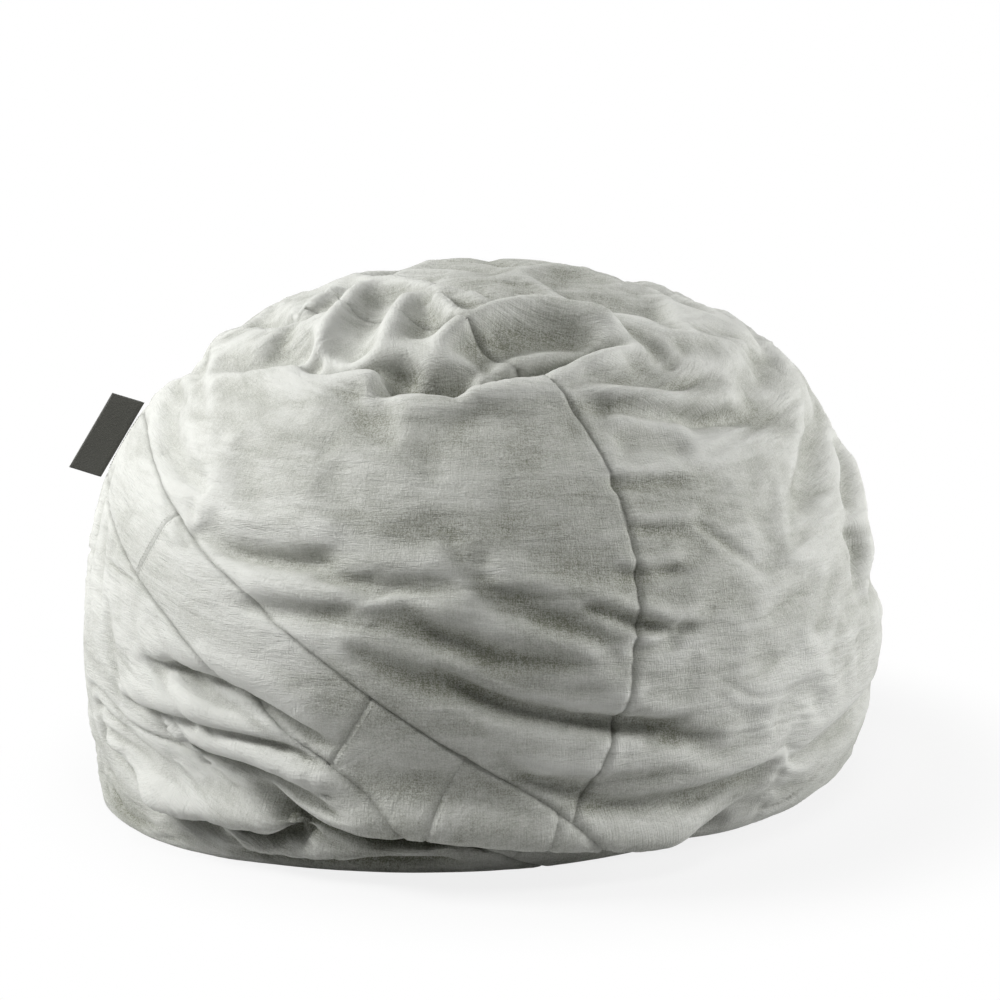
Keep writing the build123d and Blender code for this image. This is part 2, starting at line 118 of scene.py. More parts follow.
# folds that hold their place: kind, half width, depth, line over the bag
foldPlan = {
    "rimRidge": ("ridge", 0.026, 0.008, [(-0.20, -0.28, 0.576), (-0.14, -0.31, 0.576), (-0.10, -0.33, 0.572), (-0.08, -0.35, 0.559), (-0.04, -0.36, 0.558), (0.03, -0.35, 0.566), (0.09, -0.33, 0.576), (0.15, -0.28, 0.591), (0.20, -0.21, 0.603)]),
    "rimValley": ("valley", 0.016, 0.016, [(-0.22, -0.23, 0.588), (-0.18, -0.27, 0.587), (-0.11, -0.29, 0.591), (-0.06, -0.30, 0.594)]),
    "pocketValley": ("valley", 0.026, 0.026, [(-0.13, -0.31, 0.582), (-0.07, -0.33, 0.577), (0.00, -0.34, 0.574)]),
    "leafRidge": ("ridge", 0.016, 0.012, [(-0.07, -0.28, 0.607), (-0.02, -0.25, 0.621), (0.02, -0.22, 0.632), (0.07, -0.20, 0.636), (0.11, -0.20, 0.632), (0.19, -0.21, 0.608)]),
    "leafFace": ("valley", 0.034, 0.012, [(-0.04, -0.30, 0.599), (0.02, -0.27, 0.612), (0.09, -0.24, 0.617), (0.16, -0.23, 0.610)]),
    "leafValley": ("valley", 0.011, 0.02, [(-0.04, -0.35, 0.566), (0.00, -0.34, 0.572), (0.03, -0.32, 0.587), (0.05, -0.31, 0.590), (0.10, -0.29, 0.597), (0.18, -0.22, 0.607)]),
    "leftPocket": ("valley", 0.022, 0.014, [(-0.31, 0.03, 0.595), (-0.26, -0.06, 0.614), (-0.23, -0.12, 0.617)]),
    "leftPocketRidge": ("ridge", 0.009, 0.008, [(-0.25, -0.03, 0.620), (-0.23, -0.11, 0.619), (-0.20, -0.10, 0.632), (-0.17, -0.04, 0.646)]),
    "leftFace": ("valley", 0.026, 0.01, [(-0.27, -0.14, 0.599), (-0.22, -0.19, 0.604), (-0.20, -0.19, 0.609)]),
    "nickValley": ("valley", 0.009, 0.012, [(-0.23, -0.23, 0.587), (-0.21, -0.23, 0.594), (-0.20, -0.22, 0.603)]),
    "kneeRidge": ("ridge", 0.014, 0.006, [(-0.21, -0.24, 0.589), (-0.20, -0.21, 0.605), (-0.17, -0.14, 0.634), (-0.14, -0.06, 0.653)]),
    "kneeValley": ("valley", 0.028, 0.009, [(-0.16, -0.27, 0.593), (-0.15, -0.21, 0.621), (-0.13, -0.14, 0.644), (-0.12, -0.09, 0.654)]),
    "kneeRidge2": ("ridge", 0.018, 0.005, [(-0.12, -0.28, 0.596), (-0.11, -0.22, 0.624), (-0.09, -0.12, 0.652)]),
    "saddleValley": ("valley", 0.022, 0.008, [(-0.07, -0.26, 0.614), (-0.07, -0.21, 0.634), (-0.07, -0.15, 0.650)]),
    "saddleRidge": ("ridge", 0.008, 0.008, [(-0.06, -0.15, 0.652), (-0.04, -0.20, 0.638), (-0.02, -0.25, 0.623)]),
    "topSeamRidge": ("ridge", 0.008, 0.005, [(-0.14, -0.05, 0.655), (-0.09, -0.10, 0.657), (-0.05, -0.15, 0.652), (0.00, -0.17, 0.648), (0.01, -0.21, 0.635)]),
    "topRightDip": ("valley", 0.04, 0.009, [(0.10, -0.15, 0.646), (0.17, -0.09, 0.641), (0.25, -0.08, 0.617)]),
    "notchCrease": ("pleat", 0.012, 0.009, [(0.10, -0.35, 0.552), (0.16, -0.34, 0.544), (0.25, -0.30, 0.531), (0.34, -0.21, 0.522)]),
    "pucker1": ("pleat", 0.008, 0.004, [(0.14, -0.42, 0.478), (0.19, -0.40, 0.470), (0.26, -0.37, 0.474)]),
    "pucker2": ("pleat", 0.008, 0.003, [(0.16, -0.44, 0.431), (0.21, -0.43, 0.424), (0.27, -0.40, 0.426)]),
    "pucker3": ("pleat", 0.008, 0.005, [(0.15, -0.47, 0.384), (0.20, -0.45, 0.378), (0.25, -0.43, 0.386)]),
    "pucker4": ("pleat", 0.010, 0.006, [(0.10, -0.49, 0.353), (0.15, -0.49, 0.343), (0.18, -0.48, 0.330), (0.23, -0.46, 0.313), (0.27, -0.43, 0.318)]),
    "pucker5": ("pleat", 0.009, 0.004, [(0.17, -0.49, 0.301), (0.20, -0.47, 0.299), (0.24, -0.46, 0.307)]),
    "longFold1": ("pleat", 0.016, 0.007, [(-0.06, -0.52, 0.286), (-0.01, -0.52, 0.250), (0.06, -0.52, 0.226), (0.16, -0.50, 0.210), (0.21, -0.48, 0.200), (0.25, -0.46, 0.210)]),
    "longFold2": ("pleat", 0.018, 0.008, [(-0.10, -0.50, 0.338), (-0.05, -0.51, 0.314), (0.03, -0.52, 0.294), (0.12, -0.51, 0.283), (0.17, -0.49, 0.289)]),
    "longFold3": ("pleat", 0.018, 0.006, [(-0.01, -0.50, 0.373), (0.07, -0.50, 0.346), (0.14, -0.50, 0.316), (0.17, -0.49, 0.304)]),
    "longFold4": ("pleat", 0.018, 0.007, [(-0.03, -0.52, 0.300), (0.03, -0.52, 0.273), (0.10, -0.51, 0.257), (0.17, -0.50, 0.252)]),
    "smear1": ("pleat", 0.018, 0.006, [(-0.33, -0.37, 0.387), (-0.26, -0.42, 0.384), (-0.20, -0.45, 0.392), (-0.14, -0.46, 0.407)]),
    "smear2": ("pleat", 0.016, 0.005, [(-0.30, -0.42, 0.328), (-0.21, -0.47, 0.328), (-0.13, -0.49, 0.337)]),
    "smear3": ("pleat", 0.016, 0.005, [(-0.21, -0.45, 0.378), (-0.10, -0.49, 0.369), (-0.01, -0.50, 0.375)]),
    "lowFold1": ("pleat", 0.014, 0.005, [(0.02, -0.52, 0.147), (0.09, -0.51, 0.137), (0.18, -0.48, 0.136), (0.26, -0.45, 0.148)]),
    "lowFold2": ("pleat", 0.016, 0.006, [(0.09, -0.50, 0.112), (0.18, -0.47, 0.107), (0.28, -0.42, 0.111), (0.37, -0.36, 0.130)]),
    "baseFold1": ("pleat", 0.014, 0.006, [(-0.42, -0.31, 0.234), (-0.35, -0.39, 0.242), (-0.28, -0.44, 0.231), (-0.21, -0.48, 0.200), (-0.15, -0.50, 0.165)]),
    "baseFold2": ("pleat", 0.014, 0.006, [(-0.45, -0.27, 0.175), (-0.37, -0.37, 0.183), (-0.28, -0.44, 0.179), (-0.21, -0.48, 0.168), (-0.16, -0.49, 0.143)]),
    "baseFold3": ("pleat", 0.013, 0.007, [(-0.40, -0.33, 0.163), (-0.34, -0.39, 0.146), (-0.26, -0.45, 0.139), (-0.19, -0.48, 0.122), (-0.12, -0.49, 0.103)]),
    "baseFold4": ("pleat", 0.013, 0.016, [(-0.41, -0.29, 0.086), (-0.38, -0.32, 0.072), (-0.32, -0.38, 0.068), (-0.25, -0.43, 0.064), (-0.18, -0.46, 0.066)]),
    "baseFold5": ("pleat", 0.015, 0.009, [(-0.47, -0.19, 0.100), (-0.42, -0.27, 0.084), (-0.37, -0.33, 0.056), (-0.29, -0.39, 0.042)]),
    "overhang": ("pleat", 0.017, 0.026, [(-0.28, -0.43, 0.120), (-0.23, -0.45, 0.100), (-0.15, -0.48, 0.082), (-0.06, -0.50, 0.077), (0.04, -0.49, 0.068), (0.14, -0.47, 0.057), (0.23, -0.43, 0.050), (0.32, -0.38, 0.056)]),
    "floorRoll": ("pleat", 0.012, 0.01, [(-0.28, -0.37, 0.017), (-0.19, -0.43, 0.030), (-0.10, -0.47, 0.034), (-0.01, -0.48, 0.036)]),
    "shoulder1": ("valley", 0.026, 0.007, [(0.41, -0.05, 0.514), (0.43, -0.10, 0.481), (0.41, -0.23, 0.441), (0.38, -0.29, 0.405)]),
    "shoulder2": ("pleat", 0.018, 0.008, [(0.45, -0.04, 0.460), (0.47, -0.10, 0.416), (0.45, -0.18, 0.395)]),
    "shoulder3": ("pleat", 0.016, 0.008, [(0.45, -0.20, 0.379), (0.47, -0.18, 0.343), (0.47, -0.22, 0.312)]),
    "shoulder4": ("valley", 0.03, 0.006, [(0.32, -0.23, 0.529), (0.36, -0.04, 0.561), (0.32, -0.04, 0.588)]),
    "thinCrease": ("valley", 0.006, 0.0025, [(0.24, -0.40, 0.433), (0.29, -0.39, 0.401), (0.34, -0.37, 0.365)]),
    "neckFold": ("pleat", 0.022, 0.006, [(0.26, -0.34, 0.499), (0.21, -0.35, 0.514), (0.15, -0.38, 0.520)]),
}

clothPlan = {
    "frames": 28,
    "foldGain": 1.8,
    "upSlack": 1.03,  # the cut is this much taller than the filled shape
    "midSlack": 0.02,  # and has this much more length round the belly
    "slack": -0.07,  # spare cloth where it is loosest
    "frontLoose": 0.05,
    "rearLoose": 0.12,
    "baseLoose": 0.06,
    "crownLoose": 0.45,
    "hold": 0.115,
    "bandHold": 0.06,
    "mass": 0.1,
    "gravity": 0.25,
    "pressure": 0,
    "tension": 20,
    "bending": 1.0,
}


def smoothStep(low, high, x):
    t = np.clip((x - low) / (high - low), 0, 1)
    return t * t * (3 - 2 * t)


def getPoints(mesh):
    flat = np.empty(len(mesh.vertices) * 3)
    mesh.vertices.foreach_get("co", flat)
    return flat.reshape(-1, 3)


def setPoints(mesh, points):
    mesh.vertices.foreach_set("co", np.ascontiguousarray(points, dtype=np.float64).ravel())
    mesh.update()


def getNormals(mesh):
    flat = np.empty(len(mesh.vertices) * 3)
    mesh.vertices.foreach_get("normal", flat)
    return flat.reshape(-1, 3)


def bagOutline(form, steps=300):
    rise = form["height"] - form["belly"]
    side = form["sideShare"] * rise
    sideX = form["radius"] - side
    crown = (sideX**2 + rise**2 - side**2) / (2 * (rise - side))
    footX = sideX + math.sqrt((side - form["heel"]) ** 2 - (form["belly"] - form["heel"]) ** 2)
    heelAngle = math.atan2(form["heel"] - form["belly"], footX - sideX)
    crownAngle = math.atan2(form["belly"] - form["height"] + crown, sideX)
    heelTurn = np.linspace(-math.pi / 2, heelAngle, steps)
    sideTurn = np.linspace(heelAngle, crownAngle, steps)
    crownTurn = np.linspace(crownAngle, math.pi / 2, steps)
    r = np.concatenate([np.linspace(0, footX, steps), footX + form["heel"] * np.cos(heelTurn),
                        sideX + side * np.cos(sideTurn), crown * np.cos(crownTurn)])
    z = np.concatenate([np.zeros(steps), form["heel"] * (1 + np.sin(heelTurn)),
                        form["belly"] + side * np.sin(sideTurn), form["height"] - crown + crown * np.sin(crownTurn)])
    length = np.concatenate([[0], np.cumsum(np.hypot(np.diff(r), np.diff(z)))])
    return r, z, length, footX, side, sideX


outlineR, outlineZ, outlineLength, footRadius, sideRadius, sideCentre = bagOutline(bagForm)

tilt, turn = math.radians(seamPlan["tilt"]), math.radians(seamPlan["azimuth"])
bandNormal = np.array([math.sin(tilt) * math.cos(turn), math.sin(tilt) * math.sin(turn), math.cos(tilt)])
bandForward = np.array([0, -1, 0]) + bandNormal * bandNormal[1]
bandForward /= np.linalg.norm(bandForward)
bandSide = np.cross(bandNormal, bandForward)
bandCentre = np.array([0, 0, seamPlan["bandHeight"]])


def bandDirection(angle):
    return bandForward * math.cos(math.radians(angle)) + bandSide * math.sin(math.radians(angle))


archNormal = bandDirection(seamPlan["archAngle"])


def bandLevel(points):
    return (points - bandCentre) @ bandNormal


def archLevel(points):
    return (points - bandCentre) @ archNormal - seamPlan["archOffset"]


def bandAngle(points):
    offset = points - bandCentre
    return np.degrees(np.arctan2(offset @ bandSide, offset @ bandForward))


zipOut = np.array([math.cos(math.radians(zipPlan["azimuth"])), math.sin(math.radians(zipPlan["azimuth"])), 0])
zipAcross = np.array([zipOut[1], -zipOut[0], 0])
zipCentre = zipOut * sideCentre + np.array([0, 0, bagForm["belly"]])


def zipPlace(points):
    # distance across the zip and angle up its curve
    offset = points - zipCentre
    return offset @ zipAcross, np.degrees(np.arctan2(offset[:, 2], offset @ zipOut))


zipTail = math.degrees(zipPlan["tail"] / sideRadius)
zipHalf = zipPlan["slot"] / 2 + zipPlan["inset"]


def quietMask(points):
    # 1 at the zip and the tag, where the cover keeps to the cut shape
    across, angle = zipPlace(points)
    away = np.maximum(np.abs(across) - zipHalf, 0)
    past = np.maximum(np.maximum(zipPlan["low"] - zipTail - angle, angle - zipPlan["high"] - zipTail), 0)
    away = np.hypot(away, np.radians(past) * sideRadius)
    away = np.where((points - zipCentre) @ zipOut > 0, away, 1)
    root = np.array(tagPlan["root"])
    along = np.clip((points - root) @ np.array(tagPlan["along"]), -tagPlan["length"] / 2, tagPlan["length"] / 2)
    tagAway = np.linalg.norm(points - root - along[:, None] * np.array(tagPlan["along"]), axis=1)
    return np.maximum(1 - smoothStep(0.012, 0.075, away), 1 - smoothStep(0.008, 0.05, tagAway))


def startCover(form):
    bm = bmesh.new()
    bmesh.ops.create_cube(bm, size=2)
    bmesh.ops.subdivide_edges(bm, edges=bm.edges, cuts=form["cuts"], use_grid_fill=True)
    mesh = bpy.data.meshes.new("bagCover")
    bm.to_mesh(mesh)
    bm.free()
    cube = getPoints(mesh)
    # fabric map in metres, one chart for each face of the cube
    corner = np.empty(len(mesh.loops), dtype=np.int32)
    mesh.loops.foreach_get("vertex_index", corner)
    start = np.empty(len(mesh.polygons), dtype=np.int32)
    count = np.empty(len(mesh.polygons), dtype=np.int32)
    mesh.polygons.foreach_get("loop_start", start)
    mesh.polygons.foreach_get("loop_total", count)
    middle = np.add.reduceat(cube[corner], start, axis=0) / count[:, None]
    main = np.abs(middle).argmax(axis=1)
    loopMain = np.repeat(main, count)
    across = np.where(loopMain == 0, cube[corner][:, 1], cube[corner][:, 0])
    upward = np.where(loopMain == 2, cube[corner][:, 1], cube[corner][:, 2])
    fabricMap = mesh.uv_layers.new(name="fabricMap")
    spread = outlineLength[-1] / 4
    fabricMap.data.foreach_set("uv", np.stack([across * spread + 3 * loopMain, upward * spread], axis=1).ravel())
    # round off the cube and lay it on the outline
    ball = np.tan(cube * math.pi / 4)
    ball /= np.linalg.norm(ball, axis=1)[:, None]
    share = (np.arcsin(np.clip(ball[:, 2], -1, 1)) / math.pi + 0.5) * outlineLength[-1]
    radius = np.interp(share, outlineLength, outlineR)
    height = np.interp(share, outlineLength, outlineZ)
    azimuth = np.arctan2(ball[:, 1], ball[:, 0])
    setPoints(mesh, np.stack([radius * np.cos(azimuth), radius * np.sin(azimuth), height], axis=1))
    return mesh


def leanBag(points, form):
    # the filling has rolled to the front left, so the foot is square there and tucked under at the right
    azimuth = np.degrees(np.arctan2(points[:, 1], points[:, 0]))
    radius = np.hypot(points[:, 0], points[:, 1])
    height = points[:, 2]
    grow = np.zeros(len(points))
    for centre, spread, reach in (form["footLeft"], form["footRight"]):
        away = (azimuth - centre + 180) % 360 - 180
        grow += reach * np.exp(-((away / spread) ** 2))
    fade = 0.8 * np.exp(-height / 0.025) + 0.2 * np.exp(-height / 0.15)
    inside = np.clip(radius / footRadius, 0, 1)
    factor = 1 + grow * fade * inside / np.maximum(radius, 1e-6)
    rise = 1 + form["lift"] * smoothStep(0.3, 0.67, height)  # the weight of the cloth takes this back
    return points * np.stack([factor, factor, rise], axis=1)


def pushBag(points, normals, form):
    for centre, width, amount in form["pushes"]:
        away = np.linalg.norm(points - np.array(centre), axis=1)
        points = points + normals * (amount * np.exp(-((away / width) ** 2)))[:, None]
    return points


def softLine(line, rounds=3):
    # corners cut until the line runs smoothly
    line = np.array(line, dtype=float)
    for step in range(rounds):
        first = 0.75 * line[:-1] + 0.25 * line[1:]
        second = 0.25 * line[:-1] + 0.75 * line[1:]
        line = np.concatenate([line[:1], np.stack([first, second], axis=1).reshape(-1, 3), line[-1:]])
    return line


def sagDepth(points, plan):
    # each hollow is a ring that dips into the bag at its middle and leaves it at its ends
    total = np.zeros(len(points))
    for azimuth, angle, slope, depth, length in plan["folds"].values():
        roundOut = np.array([math.cos(math.radians(azimuth)), math.sin(math.radians(azimuth)), 0])
        outward = roundOut * math.cos(math.radians(angle)) + np.array([0, 0, math.sin(math.radians(angle))])
        place = roundOut * sideCentre + np.array([0, 0, bagForm["belly"]]) + outward * sideRadius
        level = np.array([-roundOut[1], roundOut[0], 0])
        along = level * math.cos(math.radians(slope)) + np.cross(outward, level) * math.sin(math.radians(slope))
        ring = 1 / (math.cos(math.radians(angle)) / math.hypot(place[0], place[1]) - 8 * depth / length**2)
        centre = place + outward * (plan["round"] - depth - ring)
        axis = np.cross(outward, along)
        offset = points - centre
        high = offset @ axis
        out = np.linalg.norm(offset - high[:, None] * axis, axis=1) - ring
        dip = plan["round"] - np.hypot(high, out)
        dip = np.where(offset @ outward > 0, dip, -1)
        # rounded over at the rim
        total = np.maximum(total, 0.5 * (dip + np.sqrt(dip**2 + 0.004**2)) * (dip > -0.02))
    return -total


def foldDepth(points, normals, plan):
    total = np.zeros(len(points))
    for name, (kind, width, depth, line) in plan.items():
        path = softLine(line)
        reach = 4.5 * width
        near = np.flatnonzero(((points > path.min(axis=0) - reach) & (points < path.max(axis=0) + reach)).all(axis=1))
        if not len(near):
            continue
        spot = points[near]
        best = np.full(len(near), 1e9)
        side = np.zeros(len(near))
        along = np.zeros(len(near))
        lengths = np.concatenate([[0], np.cumsum(np.linalg.norm(np.diff(path, axis=0), axis=1))])
        for number in range(len(path) - 1):
            run = path[number + 1] - path[number]
            span = max(run @ run, 1e-12)
            t = np.clip((spot - path[number]) @ run / span, 0, 1)
            gap = spot - path[number] - t[:, None] * run
            distance = np.linalg.norm(gap, axis=1)
            closer = distance < best
            best = np.where(closer, distance, best)
            up = np.cross(normals[near], run)
            side = np.where(closer, np.einsum("ij,ij->i", gap, up), side)
            along = np.where(closer, lengths[number] + t * math.sqrt(span), along)
        share = along / lengths[-1]
        taper = smoothStep(0, 0.22, share) * smoothStep(0, 0.22, 1 - share)
        signed = best * np.sign(side)
        upward = 1.0 if path[-1][0] >= path[0][0] else -1.0
        signed *= upward
        if kind == "valley":
            form = -np.exp(-((best / width) ** 2))
        elif kind == "ridge":
            form = np.exp(-((best / width) ** 2))
        elif kind == "crease":
            form = -np.exp(-best / width)
        elif kind == "edge":
            form = np.exp(-best / width)
        elif kind == "lip":
            form = np.exp(-(((signed - 1.2 * width) / width) ** 2))
        else:
            form = 0.75 * np.exp(-(((signed - 1.5 * width) / (1.3 * width)) ** 2)) - np.exp(-((signed / (0.8 * width)) ** 2))
        total[near] += clothPlan["foldGain"] * depth * form * taper
    return total


def looseness(points, quiet):
    # how much spare cloth there is: most on the crown and the left of the base, least on the band
    level, arch = bandLevel(points), archLevel(points)
    half = seamPlan["bandWidth"] / 2
    aboveBand = smoothStep(half, half + 0.02, level)
    belowBand = smoothStep(half, half + 0.02, -level)
    front = smoothStep(-0.02, 0.03, arch)
    crown = smoothStep(0.54, 0.62, points[:, 2])
    loose = aboveBand * (clothPlan["frontLoose"] * front + clothPlan["rearLoose"] * (1 - front)) + belowBand * clothPlan["baseLoose"]
    loose = np.maximum(loose, clothPlan["crownLoose"] * crown * aboveBand)
    inBand = 1 - np.maximum(aboveBand, belowBand)
    return loose * (1 - quiet) * smoothStep(0.0, 0.03, points[:, 2]), inBand


def settleCloth(cover, quiet, plan):
    mesh = cover.data
    target = getPoints(mesh)
    loose, inBand = looseness(target, quiet)
    cover.shape_key_add(name="filled", from_mix=False)
    cut = cover.shape_key_add(name="cut", from_mix=False)
    tall = target.copy()
    tall[:, 2] = target[:, 2] * plan["upSlack"] + plan["midSlack"] * smoothStep(0.04, 0.44, target[:, 2])
    cut.data.foreach_set("co", tall.ravel())
    cut.value = 0
    holdGroup = cover.vertex_groups.new(name="hold")
    slackGroup = cover.vertex_groups.new(name="slack")
    firm = plan["hold"] + 0.3 * quiet + plan["bandHold"] * inBand
    firm = np.where((quiet > 0.9) | (target[:, 2] < 0.002), 1.0, firm)
    for index in range(len(target)):
        holdGroup.add([index], float(firm[index]), "REPLACE")
        slackGroup.add([index], float(1 - loose[index]), "REPLACE")
    cloth = cover.modifiers.new("cloth", "CLOTH")
    settings = cloth.settings
    settings.quality = 6
    settings.mass = plan["mass"]
    settings.vertex_group_mass = "hold"
    settings.pin_stiffness = 1
    settings.vertex_group_shrink = "slack"
    settings.shrink_min = plan["slack"]
    settings.shrink_max = 0
    settings.rest_shape_key = cut
    settings.tension_stiffness = plan["tension"]
    settings.compression_stiffness = plan["tension"]
    settings.shear_stiffness = plan["tension"] / 3
    settings.bending_stiffness = plan["bending"]
    settings.effector_weights.gravity = plan["gravity"]
    if plan["pressure"]:
        settings.use_pressure = True
        settings.uniform_pressure_force = plan["pressure"]
    cloth.point_cache.frame_start = 1
    cloth.point_cache.frame_end = plan["frames"]
    for number in range(1, plan["frames"] + 1):
        scene.frame_set(number)
    settled = cover.evaluated_get(bpy.context.evaluated_depsgraph_get())
    result = getPoints(settled.data)
    cover.modifiers.clear()
    cover.shape_key_clear()
    cover.vertex_groups.clear()
    scene.frame_set(1)
    move = result - target
    far = np.linalg.norm(move, axis=1)
    print("cloth moved", round(float(far.mean()) * 1000, 1), "mm, most", round(float(far.max()) * 1000, 1))
    return result


def newMaterial(name):
    material = bpy.data.materials.new(name)
    material.use_nodes = True
    return material, material.node_tree, material.node_tree.nodes["Principled BSDF"]


def addNode(tree, kind, links=None, **settings):
    # settings go to sockets by name where there is one, else to the node itself
    node = tree.nodes.new(kind)
    for name, value in settings.items():
        socket = node.inputs.get(name.replace("_", " "))
        if socket is not None and not hasattr(node, name):
            socket.default_value = value
        else:
            setattr(node, name, value)
    for name, source in (links or {}).items():
        tree.links.new(source, node.inputs[name])
    return node


def addMath(tree, operation, first, second, clamp=False):
    node = tree.nodes.new("ShaderNodeMath")
    node.operation = operation
    node.use_clamp = clamp
    for socket, value in zip(node.inputs, (first, second)):
        if isinstance(value, (int, float)):
            socket.default_value = value
        else:
            tree.links.new(value, socket)
    return node.outputs[0]


def addRamp(tree, value, low, high):
    node = tree.nodes.new("ShaderNodeMapRange")
    node.interpolation_type = "SMOOTHSTEP"
    node.inputs["From Min"].default_value = low
    node.inputs["From Max"].default_value = high
    tree.links.new(value, node.inputs["Value"])
    return node.outputs["Result"]


def addNoise(tree, place, stretch, detail=3, rough=0.5, distort=0.0):
    turned = addNode(tree, "ShaderNodeMapping", {"Vector": place}, Scale=stretch)
    return addNode(tree, "ShaderNodeTexNoise", {"Vector": turned.outputs["Vector"]}, Scale=1.0, Detail=detail,
                   Roughness=rough, Distortion=distort).outputs["Fac"]


def addMix(tree, share, first, second):
    node = tree.nodes.new("ShaderNodeMix")
    node.data_type = "RGBA"
    for socket, value in ((node.inputs[0], share), (node.inputs[6], first), (node.inputs[7], second)):
        if isinstance(value, (int, float, tuple)):
            socket.default_value = value
        else:
            tree.links.new(value, socket)
    return node.outputs[2]


def addBump(tree, height, distance, under=None):
    node = addNode(tree, "ShaderNodeBump", {"Height": height}, Strength=1.0, Distance=distance)
    if under is not None:
        tree.links.new(under, node.inputs["Normal"])
    return node.outputs["Normal"]


# brushed cover cloth
coverCloth = {
    "dark": (0.166, 0.172, 0.129, 1),
    "light": (0.620, 0.626, 0.592, 1),
    # painted shade colour laid along the seam grooves
    "seam": (0.120, 0.122, 0.103, 1),
    "thread": 640,  # threads to the metre
    "patch": (4.2, 4.2, 9.0),
    "crinkle": 0.004,
    "weave": 0.0010,
    "sheen": 0.18,
    "sideLightShade": 0.38,  # painted light at the left and right sides, painted shade across the middle
    "low": 0.32,  # and painted shade, darker near the floor
}


def coverClothMaterial(plan):
    material, tree, shader = newMaterial("brushedCoverCloth")
    place = tree.nodes.new("ShaderNodeTexCoord").outputs["Object"]
    fabricMap = addNode(tree, "ShaderNodeUVMap", uv_map="fabricMap").outputs["UV"]
    foldLightShade = addNode(tree, "ShaderNodeAttribute", attribute_name="foldLightShade").outputs["Fac"]
    seam = addNode(tree, "ShaderNodeAttribute", attribute_name="seam").outputs["Fac"]
    thread = plan["thread"]
    warp = addNoise(tree, fabricMap, (thread, thread / 9, 1), 2, 0.6)
    weft = addNoise(tree, fabricMap, (thread / 9, thread, 1), 2, 0.6)
    slub = addNoise(tree, fabricMap, (150, 16, 1), 3, 0.6)
    brush = addNoise(tree, place, plan["patch"], 5, 0.55, 0.5)
    flow = addNode(tree, "ShaderNodeAttribute", attribute_name="flow").outputs["Vector"]
    smear = addNoise(tree, flow, (7, 7, 27), 7, 0.66, 0.8)
    streak = addNoise(tree, flow, (26, 26, 190), 4, 0.6, 0.4)
    crinkle = addNoise(tree, flow, (14, 14, 70), 6, 0.62, 0.5)
    speck = addNoise(tree, place, (560, 560, 560), 2, 0.7)
    fleck = addRamp(tree, addNoise(tree, fabricMap, (420, 420, 1), 2, 0.5), 0.66, 0.78)
    # where the nap lies over it goes light or dark; the crests of the folds get a painted highlight and their bottoms
    # painted shade
    nap = addMath(tree, "ADD", addMath(tree, "MULTIPLY", brush, 0.55), addMath(tree, "MULTIPLY", smear, 0.45))
    nap = addRamp(tree, nap, 0.36, 0.64)
    weave = addMath(tree, "ADD", warp, weft)
    grain = addMath(tree, "ADD", addMath(tree, "MULTIPLY", weave, 0.34), addMath(tree, "MULTIPLY", slub, 0.20))
    # the nap patches plus the painted highlight and shade of the folds
    share = addMath(tree, "ADD", addMath(tree, "MULTIPLY", nap, 0.56), addMath(tree, "MULTIPLY", foldLightShade, 0.52))
    # painted light and shade: lighter towards the left and right sides, darker across the middle
    placeParts = addNode(tree, "ShaderNodeSeparateXYZ", {0: place})
    offset = addMath(tree, "ABSOLUTE", addMath(tree, "SUBTRACT", placeParts.outputs["X"], 0.06), 0)
    sideLightShade = addRamp(tree, addMath(tree, "ADD", offset, addMath(tree, "MULTIPLY", addMath(tree, "SUBTRACT", brush, 0.5), 0.3)), 0.02, 0.36)
    share = addMath(tree, "ADD", share, addMath(tree, "MULTIPLY", addMath(tree, "SUBTRACT", sideLightShade, 0.5), plan["sideLightShade"]))
    # painted shade towards the bottom, near the floor
    low = addMath(tree, "SUBTRACT", 1, addRamp(tree, placeParts.outputs["Z"], 0.03, 0.13))
    share = addMath(tree, "SUBTRACT", share, addMath(tree, "MULTIPLY", low, plan["low"]))
    grain = addMath(tree, "ADD", grain, addMath(tree, "ADD", addMath(tree, "MULTIPLY", streak, 0.16), addMath(tree, "MULTIPLY", addRamp(tree, speck, 0.34, 0.66), 0.26)))
    coarse = addMath(tree, "SUBTRACT", 1.7, addMath(tree, "MULTIPLY", share, 1.4))  # the grain shows most where the cloth is dark
    share = addMath(tree, "ADD", share, addMath(tree, "MULTIPLY", addMath(tree, "SUBTRACT", grain, 0.48), coarse), True)
    share = addMath(tree, "SUBTRACT", share, addMath(tree, "MULTIPLY", fleck, 0.2), True)
    cloth = addMix(tree, share, plan["dark"], plan["light"])
    # painted shade mixed in along the seams
    tree.links.new(addMix(tree, addMath(tree, "MULTIPLY", seam, 0.4), cloth, plan["seam"]), shader.inputs["Base Color"])
    tree.links.new(addMath(tree, "ADD", addMath(tree, "MULTIPLY", nap, 0.12), 0.74), shader.inputs["Roughness"])
    folds = addBump(tree, crinkle, plan["crinkle"])
    tree.links.new(addBump(tree, weave, plan["weave"], folds), shader.inputs["Normal"])
    shader.inputs["Specular IOR Level"].default_value = 0.25
    shader.inputs["Sheen Weight"].default_value = plan["sheen"]
    shader.inputs["Sheen Roughness"].default_value = 0.35
    shader.inputs["Sheen Tint"].default_value = (0.96, 0.97, 0.93, 1)
    return material


brushedCoverCloth = coverClothMaterial(coverCloth)

